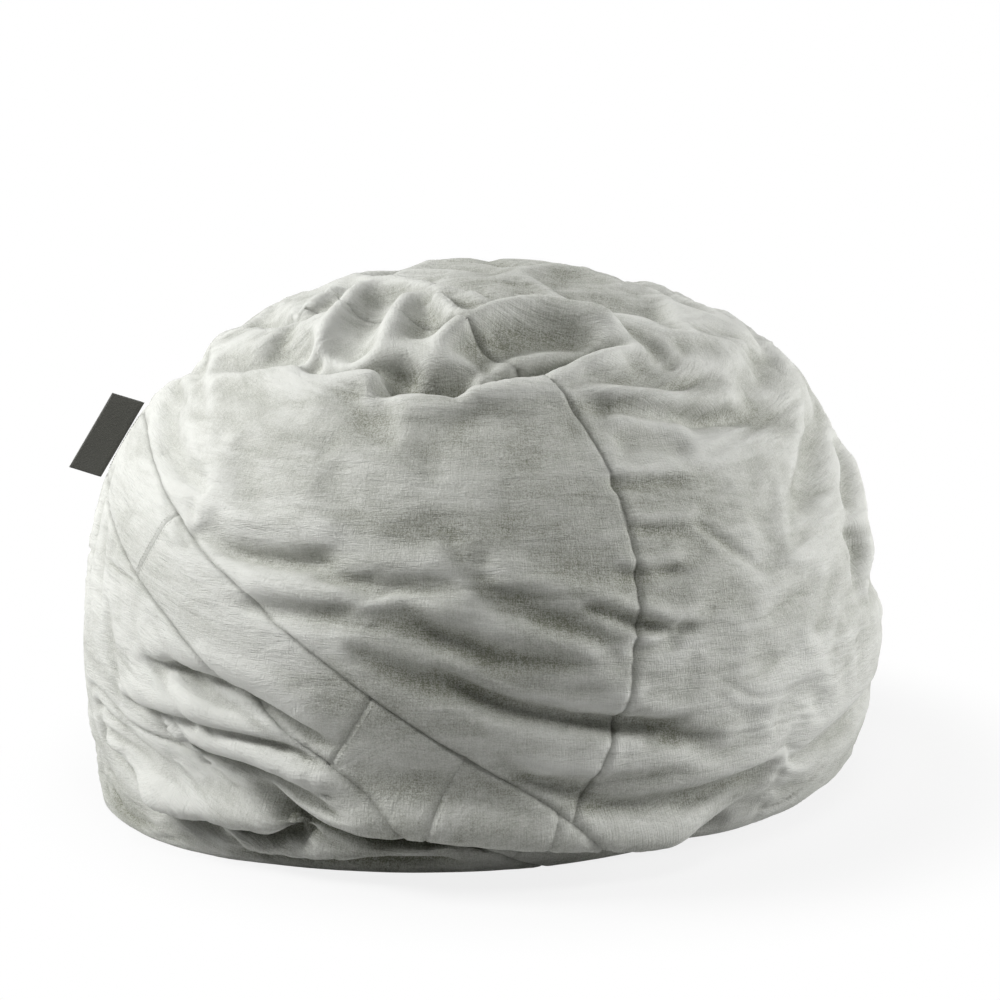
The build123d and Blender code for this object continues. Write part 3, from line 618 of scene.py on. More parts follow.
# the cover: laid out, folded, settled
coverMesh = startCover(bagForm)
cover = bpy.data.objects.new("bagCover", coverMesh)
scene.collection.objects.link(cover)
cadPoints = getPoints(coverMesh)
cadNormals = getNormals(coverMesh)
quiet = quietMask(cadPoints)
shaped = leanBag(cadPoints, bagForm)
shaped = pushBag(shaped, cadNormals, bagForm)
shaped = shaped + cadNormals * (foldDepth(cadPoints, cadNormals, foldPlan) + sagDepth(cadPoints, sagPlan))[:, None]
shaped = cadPoints + (shaped - cadPoints) * (1 - quiet)[:, None]
shaped[:, 2] = np.maximum(shaped[:, 2], 0)
setPoints(coverMesh, shaped)
print("cover laid out with", len(coverMesh.polygons), "faces")
settled = settleCloth(cover, quiet, clothPlan)
settled[:, 2] = np.maximum(settled[:, 2], 0)
setPoints(coverMesh, settled)
home = coverMesh.attributes.new("home", "FLOAT_VECTOR", "POINT")
home.data.foreach_set("vector", cadPoints.ravel())
finish = cover.modifiers.new("finish", "SUBSURF")
finish.levels = finish.render_levels = 1
fineMesh = bpy.data.meshes.new_from_object(cover.evaluated_get(bpy.context.evaluated_depsgraph_get()))
bpy.data.objects.remove(cover)
print("cover settled and smoothed,", len(fineMesh.polygons), "faces")


# sharper folds, small wrinkles and pressed creases on the settled cloth
wrinklePlan = {
    "sharpen": {4: 0.5, 10: 0.15},  # rounds of averaging, how much of what they take away is added
    "long": 0.20,  # run of a wrinkle round the bag
    "high": 0.024,
    "depth": 0.0032,
    "creases": {"overhang": (0.013, 0.044), "floorRoll": (0.009, 0.012), "baseFold1": (0.007, 0.010), "baseFold2": (0.007, 0.010),
                "baseFold3": (0.007, 0.013), "baseFold4": (0.010, 0.030), "baseFold5": (0.008, 0.011), "notchCrease": (0.008, 0.006),
                "pocketValley": (0.010, 0.008), "leafValley": (0.008, 0.008), "rimValley": (0.009, 0.007), "longFold1": (0.007, 0.003),
                "pucker1": (0.005, 0.004), "pucker2": (0.005, 0.004), "pucker3": (0.005, 0.004), "pucker4": (0.005, 0.005),
                "pucker5": (0.005, 0.004), "leftPocket": (0.010, 0.007), "shoulder2": (0.008, 0.004), "shoulder3": (0.008, 0.004),
                "thinCrease": (0.003, 0.002), "nickValley": (0.006, 0.004)},
    "edges": {"rimRidge": (0.012, 0.006), "leafRidge": (0.009, 0.007), "kneeRidge": (0.006, 0.003), "kneeRidge2": (0.006, 0.003),
              "saddleRidge": (0.007, 0.004), "topSeamRidge": (0.006, 0.003), "leftPocketRidge": (0.006, 0.004)},
    "lips": {"overhang": (0.016, 0.018), "baseFold3": (0.011, 0.008), "baseFold4": (0.012, 0.014), "baseFold2": (0.010, 0.007),
             "baseFold1": (0.010, 0.007)},
}
# painted highlight on the crests of the folds, painted shade in the bottoms: rounds of averaging, strength to the metre
foldLightShadePlan = {4: 120, 15: 55, 60: 30}


def neighbourMean(mesh):
    ends = np.empty(len(mesh.edges) * 2, dtype=np.int32)
    mesh.edges.foreach_get("vertices", ends)
    first, second = ends[0::2], ends[1::2]
    total = len(mesh.vertices)
    count = np.bincount(ends, minlength=total)

    def average(points):
        return np.stack([(np.bincount(first, axis[second], total) + np.bincount(second, axis[first], total)) / count
                         for axis in points.T], axis=1)

    return average


def foldHeight(mesh, plan):
    # how far each point stands above its surroundings, near and wide
    average = neighbourMean(mesh)
    points, normals = getPoints(mesh), getNormals(mesh)
    smooth = points
    height = np.zeros(len(points))
    for step in range(1, max(plan) + 1):
        smooth = average(smooth)
        if step in plan:
            rise = np.einsum("ij,ij->i", points - smooth, normals)
            height += plan[step] * (rise - rise.mean())
    return height


def clothRun(points):
    # the way the small folds run: round the bag, sloping down to the right at the left of the base
    azimuth = np.degrees(np.arctan2(points[:, 1], points[:, 0]))
    fromLeft = (azimuth + 125 + 180) % 360 - 180
    left = np.exp(-((fromLeft / 40) ** 2)) * smoothStep(-0.03, 0.08, -bandLevel(points))
    up = np.interp(points[:, 2], outlineZ[299:], outlineLength[299:])
    up += 0.36 * left * np.radians(fromLeft) * 0.5 + 1.7 * points[:, 1] * smoothStep(0.52, 0.66, points[:, 2])  # straight over the crown
    return np.stack([points[:, 0], points[:, 1], up], axis=1), left


def wrinkleDepth(points, plan):
    # narrow valleys with a crest beside them
    run, left = clothRun(points)
    level = bandLevel(points)
    half = seamPlan["bandWidth"] / 2
    inBand = 1 - smoothStep(half - 0.004, half + 0.02, np.abs(level))
    front = smoothStep(-0.02, 0.03, archLevel(points)) * smoothStep(half, half + 0.02, level)
    calm = front * smoothStep(0.36, 0.46, points[:, 2]) * (1 - smoothStep(0.54, 0.58, points[:, 2]))
    amount = (1 - 0.75 * inBand) * (1 - 0.7 * calm) * (0.75 + 2.0 * left) * smoothStep(0.004, 0.03, points[:, 2])
    result = np.zeros(len(points))
    for index in np.flatnonzero(amount > 0.01):
        x, y, up = run[index]
        strong = 0.45 + 1.1 * noise.noise(Vector((x * 9, y * 9, up * 14)))
        if strong <= 0:
            continue
        bend = 1.6 * noise.noise(Vector((x * 7 + 3, y * 7, up * 7)))
        spot = Vector((x / plan["long"], up / plan["high"] + bend, y / plan["long"]))
        for scale, share in ((0.55, 1.0), (1.25, 0.45)):
            line = noise.noise(spot * scale)
            result[index] += share * strong * (0.6 * math.exp(-(((line - 0.24) / 0.14) ** 2)) - math.exp(-((line / 0.085) ** 2)))
    return plan["depth"] * amount * result


def namedFolds(kind, plan):
    return {name: (kind, width, depth / clothPlan["foldGain"], foldPlan[name][3]) for name, (width, depth) in plan.items()}


def pressWrinkles(mesh):
    flat = np.empty(len(mesh.vertices) * 3)
    mesh.attributes["home"].data.foreach_get("vector", flat)
    homes = flat.reshape(-1, 3)
    free = 1 - quietMask(homes)
    sharp = foldHeight(mesh, wrinklePlan["sharpen"]) * free * smoothStep(0.0, 0.02, homes[:, 2])
    setPoints(mesh, getPoints(mesh) + getNormals(mesh) * sharp[:, None])
    normals = getNormals(mesh)
    lip = foldDepth(homes, normals, namedFolds("lip", wrinklePlan["lips"]))
    move = foldDepth(homes, normals, namedFolds("crease", wrinklePlan["creases"])) + wrinkleDepth(homes, wrinklePlan)
    move += foldDepth(homes, normals, namedFolds("edge", wrinklePlan["edges"])) + 0.6 * lip
    points = getPoints(mesh) + normals * (move * free)[:, None]
    points[:, 2] = np.maximum(points[:, 2] - lip * free, 0)
    setPoints(mesh, points)
    flow = mesh.attributes.new("flow", "FLOAT_VECTOR", "POINT")
    flow.data.foreach_set("vector", clothRun(homes)[0].ravel())


pressWrinkles(fineMesh)
# painted highlight on fold crests and painted shade in fold bottoms, kept on each point
foldLightShade = fineMesh.attributes.new("foldLightShade", "FLOAT", "POINT")
foldLightShade.data.foreach_set("value", np.clip(0.5 + foldHeight(fineMesh, foldLightShadePlan), 0, 1))
print("wrinkles pressed in")


def faceCentres(bm):
    return np.array([face.calc_center_median() for face in bm.faces])


def cutAlong(bm, place, normal, wanted=None):
    faces = list(bm.faces)
    if wanted is not None:
        keep = wanted(faceCentres(bm))
        faces = [face for face, kept in zip(faces, keep) if kept]
    edges = {edge for face in faces for edge in face.edges}
    verts = {vert for face in faces for vert in face.verts}
    bmesh.ops.bisect_plane(bm, geom=faces + list(edges) + list(verts), dist=1e-5,
                           plane_co=Vector(place), plane_no=Vector(normal))


def inWindow(points, margin=0.0):
    across, angle = zipPlace(points)
    turn = math.degrees(margin / sideRadius)
    return ((np.abs(across) < zipHalf + margin) & (angle > zipPlan["low"] - zipTail - turn)
            & (angle < zipPlan["high"] + zipTail + turn) & ((points - zipCentre) @ zipOut > 0.1))


def cutSeams(bm):
    half = seamPlan["bandWidth"] / 2
    cutAlong(bm, bandCentre + bandNormal * half, bandNormal)
    cutAlong(bm, bandCentre - bandNormal * half, bandNormal)
    cutAlong(bm, bandCentre + archNormal * seamPlan["archOffset"], archNormal, lambda spots: bandLevel(spots) > half)
    for angle in seamPlan["cross"].values():
        ahead = bandDirection(angle)
        cutAlong(bm, bandCentre, bandDirection(angle + 90),
                 lambda spots: (np.abs(bandLevel(spots)) < half) & ((spots - bandCentre) @ ahead > 0))
    for across in (-zipHalf, -zipPlan["slot"] / 2, zipPlan["slot"] / 2, zipHalf):
        cutAlong(bm, zipCentre + zipAcross * across, zipAcross, lambda spots: inWindow(spots, 0.03))
    for angle in (zipPlan["low"] - zipTail, zipPlan["high"] + zipTail):
        lean = math.radians(angle)
        cutAlong(bm, zipCentre, np.array([0, 0, math.cos(lean)]) - zipOut * math.sin(lean), lambda spots: inWindow(spots, 0.03))


def panelNames(spots):
    half = seamPlan["bandWidth"] / 2
    level, arch, angle = bandLevel(spots), archLevel(spots), bandAngle(spots)
    names = np.where(level < 0, "base_panel", np.where(arch > 0, "front_dome_panel", "rear_dome_panel")).astype("U24")
    starts = list(seamPlan["cross"].items())
    band = np.full(len(spots), starts[-1][0], dtype="U24")
    for (name, low), (following, high) in zip(starts[:-1], starts[1:]):
        band[(angle >= low) & (angle < high)] = name
    names[np.abs(level) < half] = band[np.abs(level) < half]
    across, turn = zipPlace(spots)
    window = inWindow(spots)
    names[window & (across > zipPlan["slot"] / 2)] = "zip_inset_left"
    names[window & (across < -zipPlan["slot"] / 2)] = "zip_inset_right"
    names[window & (np.abs(across) < zipPlan["slot"] / 2)] = "slot"
    return names


def seamDistance(points):
    # to the band's edges, the arch seam and the band's cross seams
    half = seamPlan["bandWidth"] / 2
    level = bandLevel(points)
    edge = np.abs(np.abs(level) - half)
    arch = np.where(level > half - 0.003, np.abs(archLevel(points)), 1.0)
    cross = np.full(len(points), 1.0)
    for angle in seamPlan["cross"].values():
        offset = points - bandCentre
        side = np.abs(offset @ bandDirection(angle + 90))
        cross = np.minimum(cross, np.where((np.abs(level) < half) & (offset @ bandDirection(angle) > 0), side, 1.0))
    return edge, arch, cross


def sewCover(mesh):
    bm = bmesh.new()
    bm.from_mesh(mesh)
    homeLayer = bm.verts.layers.float_vector["home"]
    settledLayer = bm.verts.layers.float_vector.new("settled")
    outLayer = bm.verts.layers.float_vector.new("outward")
    for vert in bm.verts:
        vert[settledLayer] = vert.co
        vert.co = vert[homeLayer]
    cutSeams(bm)
    bm.verts.index_update()
    homes = np.array([vert.co for vert in bm.verts])
    names = panelNames(faceCentres(bm))
    for vert in bm.verts:
        vert[homeLayer] = vert.co
        vert.co = vert[settledLayer]
    bm.normal_update()
    # seams drawn in, with small tucks beside the arch seam
    edge, arch, cross = seamDistance(homes)
    nearest = np.minimum(edge, arch)
    inward = -seamPlan["groove"] * np.exp(-((nearest / seamPlan["grooveWidth"]) ** 2))
    inward -= seamPlan["crossGroove"] * np.exp(-((cross / seamPlan["grooveWidth"]) ** 2))
    tucks = np.array([noise.noise(Vector(spot) * 42) for spot in homes])
    inward += seamPlan["pucker"] * tucks * np.exp(-((arch / 0.03) ** 2))
    inward += 0.4 * seamPlan["pucker"] * tucks * np.exp(-((nearest / 0.02) ** 2))
    flat = homes[:, 2] > 0.001
    for vert, step, free in zip(bm.verts, inward, flat):
        if free:
            vert.co += vert.normal * float(step)
            vert.co.z = max(vert.co.z, 0)
    bm.normal_update()
    # painted shade along the seam grooves, half as strong at the cross seams
    seamShadeLayer = bm.verts.layers.float.new("seam")
    dark = np.maximum(np.exp(-((nearest / 0.0022) ** 2)), 0.5 * np.exp(-((cross / 0.002) ** 2)))
    for vert, value in zip(bm.verts, dark):
        vert[outLayer] = vert.normal
        vert[seamShadeLayer] = float(value)
    return bm, names


sewn, sewnNames = sewCover(fineMesh)
print("seams cut,", len(sewn.faces), "faces")
sewnMesh = bpy.data.meshes.new("sewnCover")
sewn.to_mesh(sewnMesh)
sewnMesh.calc_loop_triangles()
sewnHome = np.empty(len(sewnMesh.vertices) * 3)
sewnMesh.attributes["home"].data.foreach_get("vector", sewnHome)
sewnHome = sewnHome.reshape(-1, 3)
sewnPoints = getPoints(sewnMesh)
sewnTriangles = np.array([tuple(triangle.vertices) for triangle in sewnMesh.loop_triangles])
coverTree = BVHTree.FromPolygons([Vector(spot) for spot in sewnHome], sewnTriangles.tolist())


def onCover(spot):
    # from a place on the cut shape to the same place on the settled cloth
    near, normal, index, away = coverTree.find_nearest(Vector(spot))
    corners = sewnTriangles[index]
    first, second, third = (Vector(sewnHome[corner]) for corner in corners)
    a, b, c = (Vector(sewnPoints[corner]) for corner in corners)
    return barycentric_transform(near, first, second, third, a, b, c), (b - a).cross(c - a).normalized()


def makePanel(name):
    panel = sewn.copy()
    panel.faces.ensure_lookup_table()
    bmesh.ops.delete(panel, geom=[face for face, own in zip(panel.faces, sewnNames) if own != name], context="FACES")
    outLayer = panel.verts.layers.float_vector["outward"]
    edges = [edge for edge in panel.edges if edge.is_boundary]
    hem = bmesh.ops.extrude_edge_only(panel, edges=edges)
    for vert in hem["geom"]:
        if isinstance(vert, bmesh.types.BMVert):
            vert.co -= vert[outLayer] * seamPlan["hem"]
            vert.co.z = max(vert.co.z, 0.0005)
    for face in panel.faces:
        face.smooth = True
    for edge in edges:
        edge.smooth = False
    mesh = bpy.data.meshes.new(name + "_cloth")
    panel.to_mesh(mesh)
    panel.free()
    for spare in ("home", "settled", "outward"):
        mesh.attributes.remove(mesh.attributes[spare])
    mesh.materials.append(brushedCoverCloth)
    piece = bpy.data.objects.new(name + "_cloth", mesh)
    scene.collection.objects.link(piece)
    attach(piece, "bag")
    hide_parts(name)
    return piece


for name in ["front_dome_panel", "rear_dome_panel", "base_panel", *seamPlan["cross"], "zip_inset_left", "zip_inset_right"]:
    piece = makePanel(name)
print("panels made")


# stitches
stitchPlan = {"length": 0.0030, "pitch": 0.0042, "width": 0.0009, "row": 0.006}


def addStitchRow(bm, spots):
    # spots lie on the cut shape, a pitch apart
    for here, there in zip(spots[:-1], spots[1:]):
        start, out = onCover(here)
        end = onCover(there)[0]
        along = end - start
        if along.length < 1e-5 or start.z < 0.004:
            continue
        along = along.normalized()
        side = out.cross(along).normalized()
        stitch = bmesh.ops.create_icosphere(bm, subdivisions=1, radius=1.0)
        middle = start + out * 0.0002
        for vert in stitch["verts"]:
            spot = vert.co.copy()
            vert.co = (middle + along * (spot.x * stitchPlan["length"] / 2) + side * (spot.y * stitchPlan["width"] / 2)
                       + out * (spot.z * stitchPlan["width"] / 2))


def outlinePoint(direction):
    # where a line out from the band's centre leaves the cut shape
    low, high = 0.0, 1.2
    start = bandCentre
    for step in range(40):
        middle = (low + high) / 2
        spot = start + direction * middle
        inside = 0 <= spot[2] <= bagForm["height"] and math.hypot(spot[0], spot[1]) < outsideRadius(spot[2])
        low, high = (middle, high) if inside else (low, middle)
    return start + direction * low


def outsideRadius(height):
    above = np.searchsorted(outlineZ[299:], height)
    return float(np.interp(height, outlineZ[299:], outlineR[299:]))


def crossSeamSpots(angle, shift):
    # a row up the band beside one of its cross seams
    half = seamPlan["bandWidth"] / 2 - 0.004
    spots = []
    for level in np.arange(-half, half, stitchPlan["pitch"]):
        middle = bandDirection(angle)
        start = outlinePoint(middle)
        distance = np.linalg.norm(start - bandCentre)
        spots.append(start + bandNormal * level + bandDirection(angle + 90) * shift)
    return spots


seamThreads = bmesh.new()
for name, angle in seamPlan["cross"].items():
    for shift in (-stitchPlan["row"], stitchPlan["row"]):
        addStitchRow(seamThreads, crossSeamSpots(angle, shift))
for across in (-zipHalf - 0.004, -zipPlan["slot"] / 2 - 0.004, zipPlan["slot"] / 2 + 0.004, zipHalf + 0.004):
    turns = np.arange(zipPlan["low"] - zipTail, zipPlan["high"] + zipTail, math.degrees(stitchPlan["pitch"] / sideRadius))
    addStitchRow(seamThreads, [zipCentre + zipOut * sideRadius * math.cos(math.radians(turn)) + zipAcross * across
                               + np.array([0, 0, sideRadius * math.sin(math.radians(turn))]) for turn in turns])
threadMesh = bpy.data.meshes.new("cover_stitches")
seamThreads.to_mesh(threadMesh)
seamThreads.free()


def threadMaterial():
    material, tree, shader = newMaterial("coverThread")
    place = tree.nodes.new("ShaderNodeTexCoord").outputs["Object"]
    twist = addNoise(tree, place, (900, 900, 900), 2)
    tree.links.new(addMix(tree, twist, (0.34, 0.345, 0.31, 1), (0.50, 0.51, 0.47, 1)), shader.inputs["Base Color"])
    shader.inputs["Roughness"].default_value = 0.7
    return material


coverThread = threadMaterial()
threadMesh.materials.append(coverThread)
coverStitches = bpy.data.objects.new("cover_stitches", threadMesh)
scene.collection.objects.link(coverStitches)
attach(coverStitches, "bag")
print("stitches sewn,", len(threadMesh.polygons), "faces")


# folded woven tag, left bare
tagCloth = {"segments": (60, 64), "wave": 0.0012, "droop": 0.24, "dark": (0.040, 0.040, 0.033, 1), "light": (0.078, 0.078, 0.066, 1),
            "leaf": 0.0008, "gap": 0.0006}


def tagMaterial(plan):
    material, tree, shader = newMaterial("wovenTag")
    tagMap = addNode(tree, "ShaderNodeUVMap", uv_map="tagMap").outputs["UV"]
    ribs = addNode(tree, "ShaderNodeTexWave", {"Vector": tagMap}, Scale=190.0, Distortion=0.4, bands_direction="Y").outputs["Fac"]
    cross = addNode(tree, "ShaderNodeTexWave", {"Vector": tagMap}, Scale=150.0, Distortion=0.4, bands_direction="X").outputs["Fac"]
    wear = addNoise(tree, tagMap, (30, 30, 1), 5, 0.6)
    weave = addMath(tree, "MULTIPLY", ribs, cross)
    share = addMath(tree, "ADD", addMath(tree, "MULTIPLY", weave, 0.6), addMath(tree, "MULTIPLY", wear, 0.5), True)
    tree.links.new(addMix(tree, share, plan["dark"], plan["light"]), shader.inputs["Base Color"])
    tree.links.new(addMath(tree, "ADD", addMath(tree, "MULTIPLY", wear, 0.2), 0.5), shader.inputs["Roughness"])
    tree.links.new(addBump(tree, weave, 0.0003), shader.inputs["Normal"])
    shader.inputs["Sheen Weight"].default_value = 0.3
    shader.inputs["Sheen Roughness"].default_value = 0.4
    return material


def makeTag(plan):
    along, out = Vector(tagPlan["along"]), Vector(tagPlan["out"])
    across = along.cross(out)
    root = Vector(tagPlan["root"])
    reach, length = tagPlan["reach"], tagPlan["length"]
    bend = (plan["gap"] + plan["leaf"]) / 2
    run = 2 * reach + math.pi * bend
    bm = bmesh.new()
    bmesh.ops.create_grid(bm, x_segments=plan["segments"][0], y_segments=plan["segments"][1], size=0.5)
    tagMap = bm.loops.layers.uv.new("tagMap")
    for face in bm.faces:
        face.smooth = True
        for loop in face.loops:
            loop[tagMap].uv = (loop.vert.co.x * length, loop.vert.co.y * run)
    for vert in bm.verts:
        step = (vert.co.y + 0.5) * run
        if step < reach:
            place, side = step, bend
        elif step > reach + math.pi * bend:
            place, side = run - step, -bend
        else:
            turn = (step - reach) / bend
            place, side = reach + bend * math.sin(turn), bend * math.cos(turn)
        level = vert.co.x
        lift = plan["wave"] * math.sin(5.2 * level + 0.8) * smoothStep(0, 1, place / reach)
        pinch = 1 - 0.85 * (1 - smoothStep(0, 0.12, place / reach))  # leaves meet where they enter the seam
        vert.co = root + along * (level * length - plan["droop"] * place) + out * place + across * (side * pinch + lift)
    mesh = bpy.data.meshes.new("side_tag_ribbon")
    bm.to_mesh(mesh)
    bm.free()
    mesh.materials.append(tagMaterial(plan))
    tag = bpy.data.objects.new("side_tag_ribbon", mesh)
    scene.collection.objects.link(tag)
    thick = tag.modifiers.new("leaf", "SOLIDIFY")
    thick.thickness = plan["leaf"] * 0.8
    thick.offset = 0
    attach(tag, "tag")
    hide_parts("side_tag")
    return tag


makeTag(tagCloth)
print("tag folded")


# inner liner and its filling, kept clear of the cover's folds
linerPlan = {
    "cuts": 31,
    "inset": 0.0186,
    "drop": 0.0157,  # at the zip the liner hangs this much lower than the cover
    "clear": 0.055,
    "fillGap": 0.003,
    "channel": 0.006,  # hollow in the filling behind the zip
    "slot": 0.024,
    "low": -11.95,
    "high": 43.95,
}
linerZipCentre = zipCentre - np.array([0, 0, linerPlan["drop"]])


def linerMaterial():
    material, tree, shader = newMaterial("linerCloth")
    place = tree.nodes.new("ShaderNodeTexCoord").outputs["Object"]
    weave = addNoise(tree, place, (700, 700, 700), 2)
    fold = addNoise(tree, place, (20, 20, 30), 5, 0.6)
    tree.links.new(addMix(tree, weave, (0.62, 0.62, 0.60, 1), (0.80, 0.80, 0.78, 1)), shader.inputs["Base Color"])
    tree.links.new(addBump(tree, fold, 0.004), shader.inputs["Normal"])
    tree.links.new(addMath(tree, "ADD", addMath(tree, "MULTIPLY", weave, 0.1), 0.75), shader.inputs["Roughness"])
    return material


def foamMaterial():
    material, tree, shader = newMaterial("foamCrumb")
    place = tree.nodes.new("ShaderNodeTexCoord").outputs["Object"]
    crumb = addNode(tree, "ShaderNodeTexVoronoi", {"Vector": place}, Scale=70.0).outputs["Distance"]
    pores = addNoise(tree, place, (900, 900, 900), 2)
    tree.links.new(addMix(tree, crumb, (0.78, 0.70, 0.45, 1), (0.62, 0.66, 0.70, 1)), shader.inputs["Base Color"])
    tree.links.new(addBump(tree, addMath(tree, "ADD", crumb, addMath(tree, "MULTIPLY", pores, 0.2)), 0.006), shader.inputs["Normal"])
    shader.inputs["Roughness"].default_value = 0.95
    return material


def innerShape(points, normals, inset, clear, channel):
    across, angle = zipPlace(points)
    away = np.maximum(np.abs(across) - 0.016, 0)
    past = np.maximum(np.maximum(-14 - angle, angle - 46), 0)
    away = np.where((points - zipCentre) @ zipOut > 0, np.hypot(away, np.radians(past) * sideRadius), 1)
    free = smoothStep(0.0, 0.12, away)
    low = smoothStep(0.0, 0.10, points[:, 2])
    hollow = channel * (1 - smoothStep(0.02, 0.06, away))
    moved = points - normals * (inset + hollow + clear * free * (0.35 + 0.65 * low))[:, None]
    moved[:, 2] -= linerPlan["drop"] * (1 - free)
    moved[:, :2] *= (1 - 0.12 * free * (1 - smoothStep(0.0, 0.14, points[:, 2])))[:, None]
    return moved


def inLinerSlot(spots, margin=0.0):
    offset = spots - linerZipCentre
    angle = np.degrees(np.arctan2(offset[:, 2], offset @ zipOut))
    spread = math.degrees(margin / sideRadius)
    return ((np.abs(offset @ zipAcross) < linerPlan["slot"] / 2 + margin) & (angle > linerPlan["low"] - spread)
            & (angle < linerPlan["high"] + spread) & (offset @ zipOut > 0.1))


def openLinerSlot(bm):
    for across in (-linerPlan["slot"] / 2, linerPlan["slot"] / 2):
        cutAlong(bm, linerZipCentre + zipAcross * across, zipAcross, lambda spots: inLinerSlot(spots, 0.04))
    for angle in (linerPlan["low"], linerPlan["high"]):
        lean = math.radians(angle)
        cutAlong(bm, linerZipCentre, np.array([0, 0, math.cos(lean)]) - zipOut * math.sin(lean),
                 lambda spots: inLinerSlot(spots, 0.04))
    gone = [face for face, inside in zip(list(bm.faces), inLinerSlot(faceCentres(bm))) if inside]
    bmesh.ops.delete(bm, geom=gone, context="FACES")


def makeInner(name, inset, clear, material, parts, nodes):
    mesh = startCover({**bagForm, "cuts": linerPlan["cuts"]})
    channel = linerPlan["channel"] if name == "fill" else 0
    setPoints(mesh, innerShape(getPoints(mesh), getNormals(mesh), inset, clear, channel))
    for piece, node in zip(parts, nodes):
        bm = bmesh.new()
        bm.from_mesh(mesh)
        if len(parts) > 1:
            keepLeft = node.endswith("left")
            bmesh.ops.bisect_plane(bm, geom=list(bm.faces) + list(bm.edges) + list(bm.verts), dist=1e-6, plane_co=(0, 0, 0),
                                   plane_no=Vector(zipAcross), clear_inner=keepLeft, clear_outer=not keepLeft)
            openLinerSlot(bm)
        for face in bm.faces:
            face.smooth = True
        half = bpy.data.meshes.new(piece)
        bm.to_mesh(half)
        bm.free()
        half.materials.append(material)
        inner = bpy.data.objects.new(piece, half)
        scene.collection.objects.link(inner)
        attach(inner, "bag")
        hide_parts(node)


makeInner("liner", linerPlan["inset"], linerPlan["clear"], linerMaterial(), ("liner_left_cloth", "liner_right_cloth"),
          ("liner_left", "liner_right"))
makeInner("fill", linerPlan["inset"] + linerPlan["fillGap"], linerPlan["clear"], foamMaterial(), ("foam_filling",), ("foam_fill",))
print("liner and filling made")


# zip
def tapeMaterial():
    material, tree, shader = newMaterial("zipTape")
    place = tree.nodes.new("ShaderNodeTexCoord").outputs["Object"]
    weave = addNoise(tree, place, (1500, 1500, 700), 2)
    tree.links.new(addMix(tree, weave, (0.30, 0.31, 0.28, 1), (0.52, 0.53, 0.49, 1)), shader.inputs["Base Color"])
    tree.links.new(addBump(tree, weave, 0.0003), shader.inputs["Normal"])
    shader.inputs["Roughness"].default_value = 0.8
    return material


def plasticMaterial():
    material, tree, shader = newMaterial("zipPlastic")
    place = tree.nodes.new("ShaderNodeTexCoord").outputs["Object"]
    cloud = addNoise(tree, place, (300, 300, 300), 3)
    tree.links.new(addMix(tree, cloud, (0.40, 0.41, 0.38, 1), (0.50, 0.51, 0.47, 1)), shader.inputs["Base Color"])
    tree.links.new(addMath(tree, "ADD", addMath(tree, "MULTIPLY", cloud, 0.15), 0.32), shader.inputs["Roughness"])
    return material


def metalMaterial():
    material, tree, shader = newMaterial("sliderMetal")
    place = tree.nodes.new("ShaderNodeTexCoord").outputs["Object"]
    wear = addNoise(tree, place, (260, 260, 260), 5, 0.6)
    tree.links.new(addMix(tree, wear, (0.36, 0.36, 0.36, 1), (0.58, 0.58, 0.57, 1)), shader.inputs["Base Color"])
    tree.links.new(addMath(tree, "ADD", addMath(tree, "MULTIPLY", wear, 0.25), 0.22), shader.inputs["Roughness"])
    shader.inputs["Metallic"].default_value = 1.0
    return material


zipFinish = {"tape": tapeMaterial(), "plastic": plasticMaterial(), "metal": metalMaterial()}
for name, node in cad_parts.items():
    if "zip" not in name or "inset" in name:
        continue
    finish = "tape" if "tape" in name else "metal" if "slider" in name or "pull" in name else "plastic"
    for number in range(max(len(node.material_slots), 1)):
        if number < len(node.material_slots):
            node.material_slots[number].material = zipFinish[finish]
        else:
            node.data.materials.append(zipFinish[finish])
print("zip finished")


# floor, white away from the bag
def makeFloor():
    bm = bmesh.new()
    bmesh.ops.create_grid(bm, x_segments=1, y_segments=1, size=9)
    mesh = bpy.data.meshes.new("floor")
    bm.to_mesh(mesh)
    bm.free()
    floor = bpy.data.objects.new("floor", mesh)
    scene.collection.objects.link(floor)
    material, tree, shader = newMaterial("floorPaper")
    shader.inputs["Base Color"].default_value = (0.58, 0.58, 0.58, 1)
    shader.inputs["Roughness"].default_value = 0.9
    shader.inputs["Specular IOR Level"].default_value = 0.1
    place = tree.nodes.new("ShaderNodeTexCoord").outputs["Object"]
    centred = addNode(tree, "ShaderNodeMapping", {"Vector": place}, Location=(-0.1, 0, 0))
    away = addNode(tree, "ShaderNodeVectorMath", {0: centred.outputs["Vector"]}, operation="LENGTH").outputs["Value"]
    path = tree.nodes.new("ShaderNodeLightPath")
    seen = addMath(tree, "MAXIMUM", path.outputs["Is Camera Ray"], addMath(tree, "MAXIMUM", path.outputs["Is Glossy Ray"], path.outputs["Is Transmission Ray"]))
    white = addNode(tree, "ShaderNodeEmission", Color=(1, 1, 1, 1), Strength=1.0)
    mix = tree.nodes.new("ShaderNodeMixShader")
    fade = addMath(tree, "ADD", addMath(tree, "MULTIPLY", addRamp(tree, away, 0.50, 0.75), 0.16), 0.84)
    tree.links.new(addMath(tree, "MULTIPLY", fade, seen), mix.inputs["Fac"])
    tree.links.new(shader.outputs["BSDF"], mix.inputs[1])
    tree.links.new(white.outputs["Emission"], mix.inputs[2])
    tree.links.new(mix.outputs["Shader"], tree.nodes["Material Output"].inputs["Surface"])
    mesh.materials.append(material)


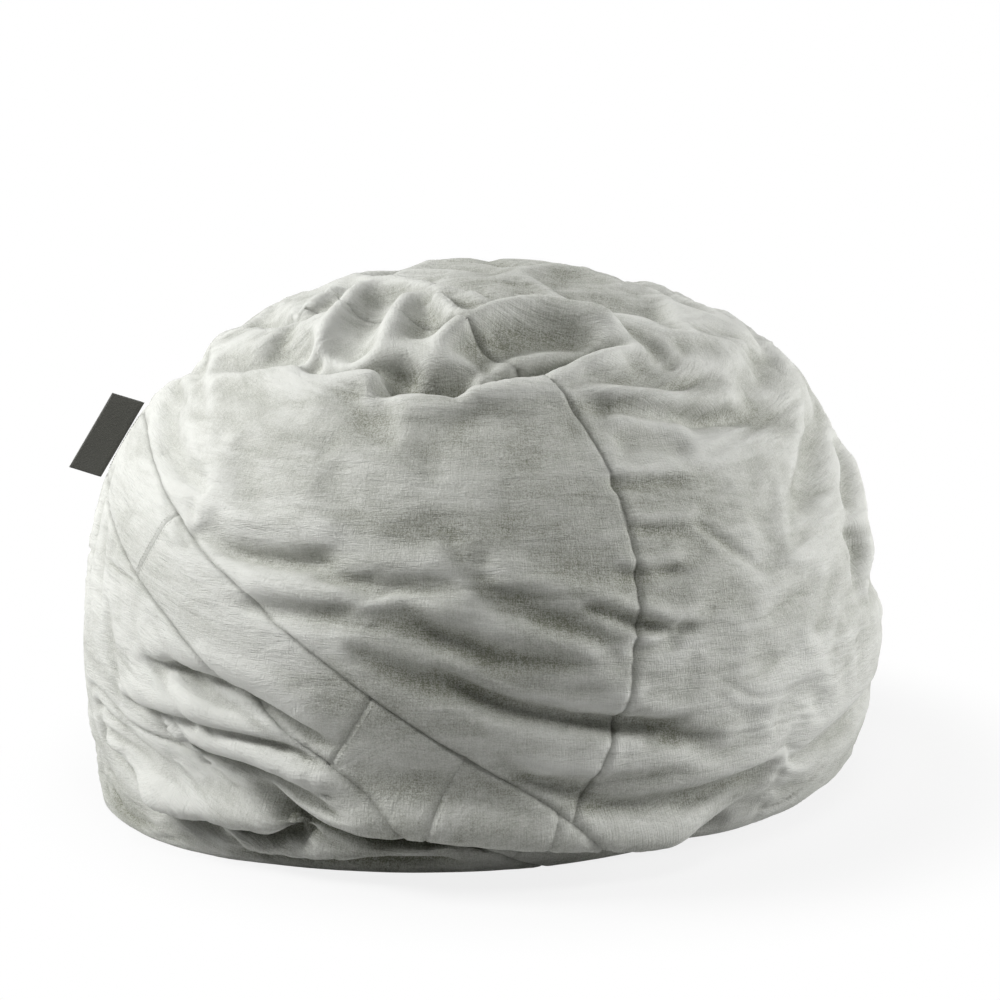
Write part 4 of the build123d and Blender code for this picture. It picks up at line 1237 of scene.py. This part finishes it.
def makeWorld(strength):
    world = bpy.data.worlds.new("studio")
    scene.world = world
    world.use_nodes = True
    tree = world.node_tree
    soft = tree.nodes["Background"]
    soft.inputs["Color"].default_value = (1, 1, 1, 1)
    soft.inputs["Strength"].default_value = strength
    path = tree.nodes.new("ShaderNodeLightPath")
    seen = addMath(tree, "MAXIMUM", path.outputs["Is Camera Ray"], addMath(tree, "MAXIMUM", path.outputs["Is Glossy Ray"], path.outputs["Is Transmission Ray"]))
    white = addNode(tree, "ShaderNodeBackground", Color=(1, 1, 1, 1), Strength=1.0)
    mix = tree.nodes.new("ShaderNodeMixShader")
    tree.links.new(seen, mix.inputs["Fac"])
    tree.links.new(soft.outputs["Background"], mix.inputs[1])
    tree.links.new(white.outputs["Background"], mix.inputs[2])
    tree.links.new(mix.outputs["Shader"], tree.nodes["World Output"].inputs["Surface"])


def addSoftbox(name, place, aim, size, watts):
    data = bpy.data.lights.new(name, "AREA")
    data.shape = "RECTANGLE"
    data.size, data.size_y = size
    data.energy = watts
    lamp = bpy.data.objects.new(name, data)
    lamp.location = place
    lamp.rotation_euler = (Vector(aim) - Vector(place)).to_track_quat("-Z", "Y").to_euler()
    scene.collection.objects.link(lamp)


makeFloor()
makeWorld(0.02)
addSoftbox("leftSoftbox", (-2.54, -0.17, 1.94), (0, 0, 0.35), (1.0, 1.0), 101)
addSoftbox("rightSoftbox", (2.93, -0.05, 1.00), (0, 0, 0.35), (1.0, 1.0), 68)
addSoftbox("frontSoftbox", (0.36, -1.68, 2.81), (0, 0, 0.35), (1.0, 1.0), 34)
addSoftbox("rearSoftbox", (0.2, 2.6, 1.9), (0, 0, 0.35), (1.4, 1.4), 16)

# camera at the height the seat was seen from
cameraPlan = {"aim": (0.0237, 0.0055, 0.356), "distance": 3.8, "elevation": 12, "lens": 104.3}
cameraData = bpy.data.cameras.new("viewCamera")
cameraData.lens = cameraPlan["lens"]
cameraData.sensor_width = 36
viewCamera = bpy.data.objects.new("viewCamera", cameraData)
rise = math.radians(cameraPlan["elevation"])
viewCamera.location = Vector(cameraPlan["aim"]) + Vector((0, -math.cos(rise), math.sin(rise))) * cameraPlan["distance"]
viewCamera.rotation_euler = (math.pi / 2 - rise, 0, 0)
scene.collection.objects.link(viewCamera)
scene.camera = viewCamera
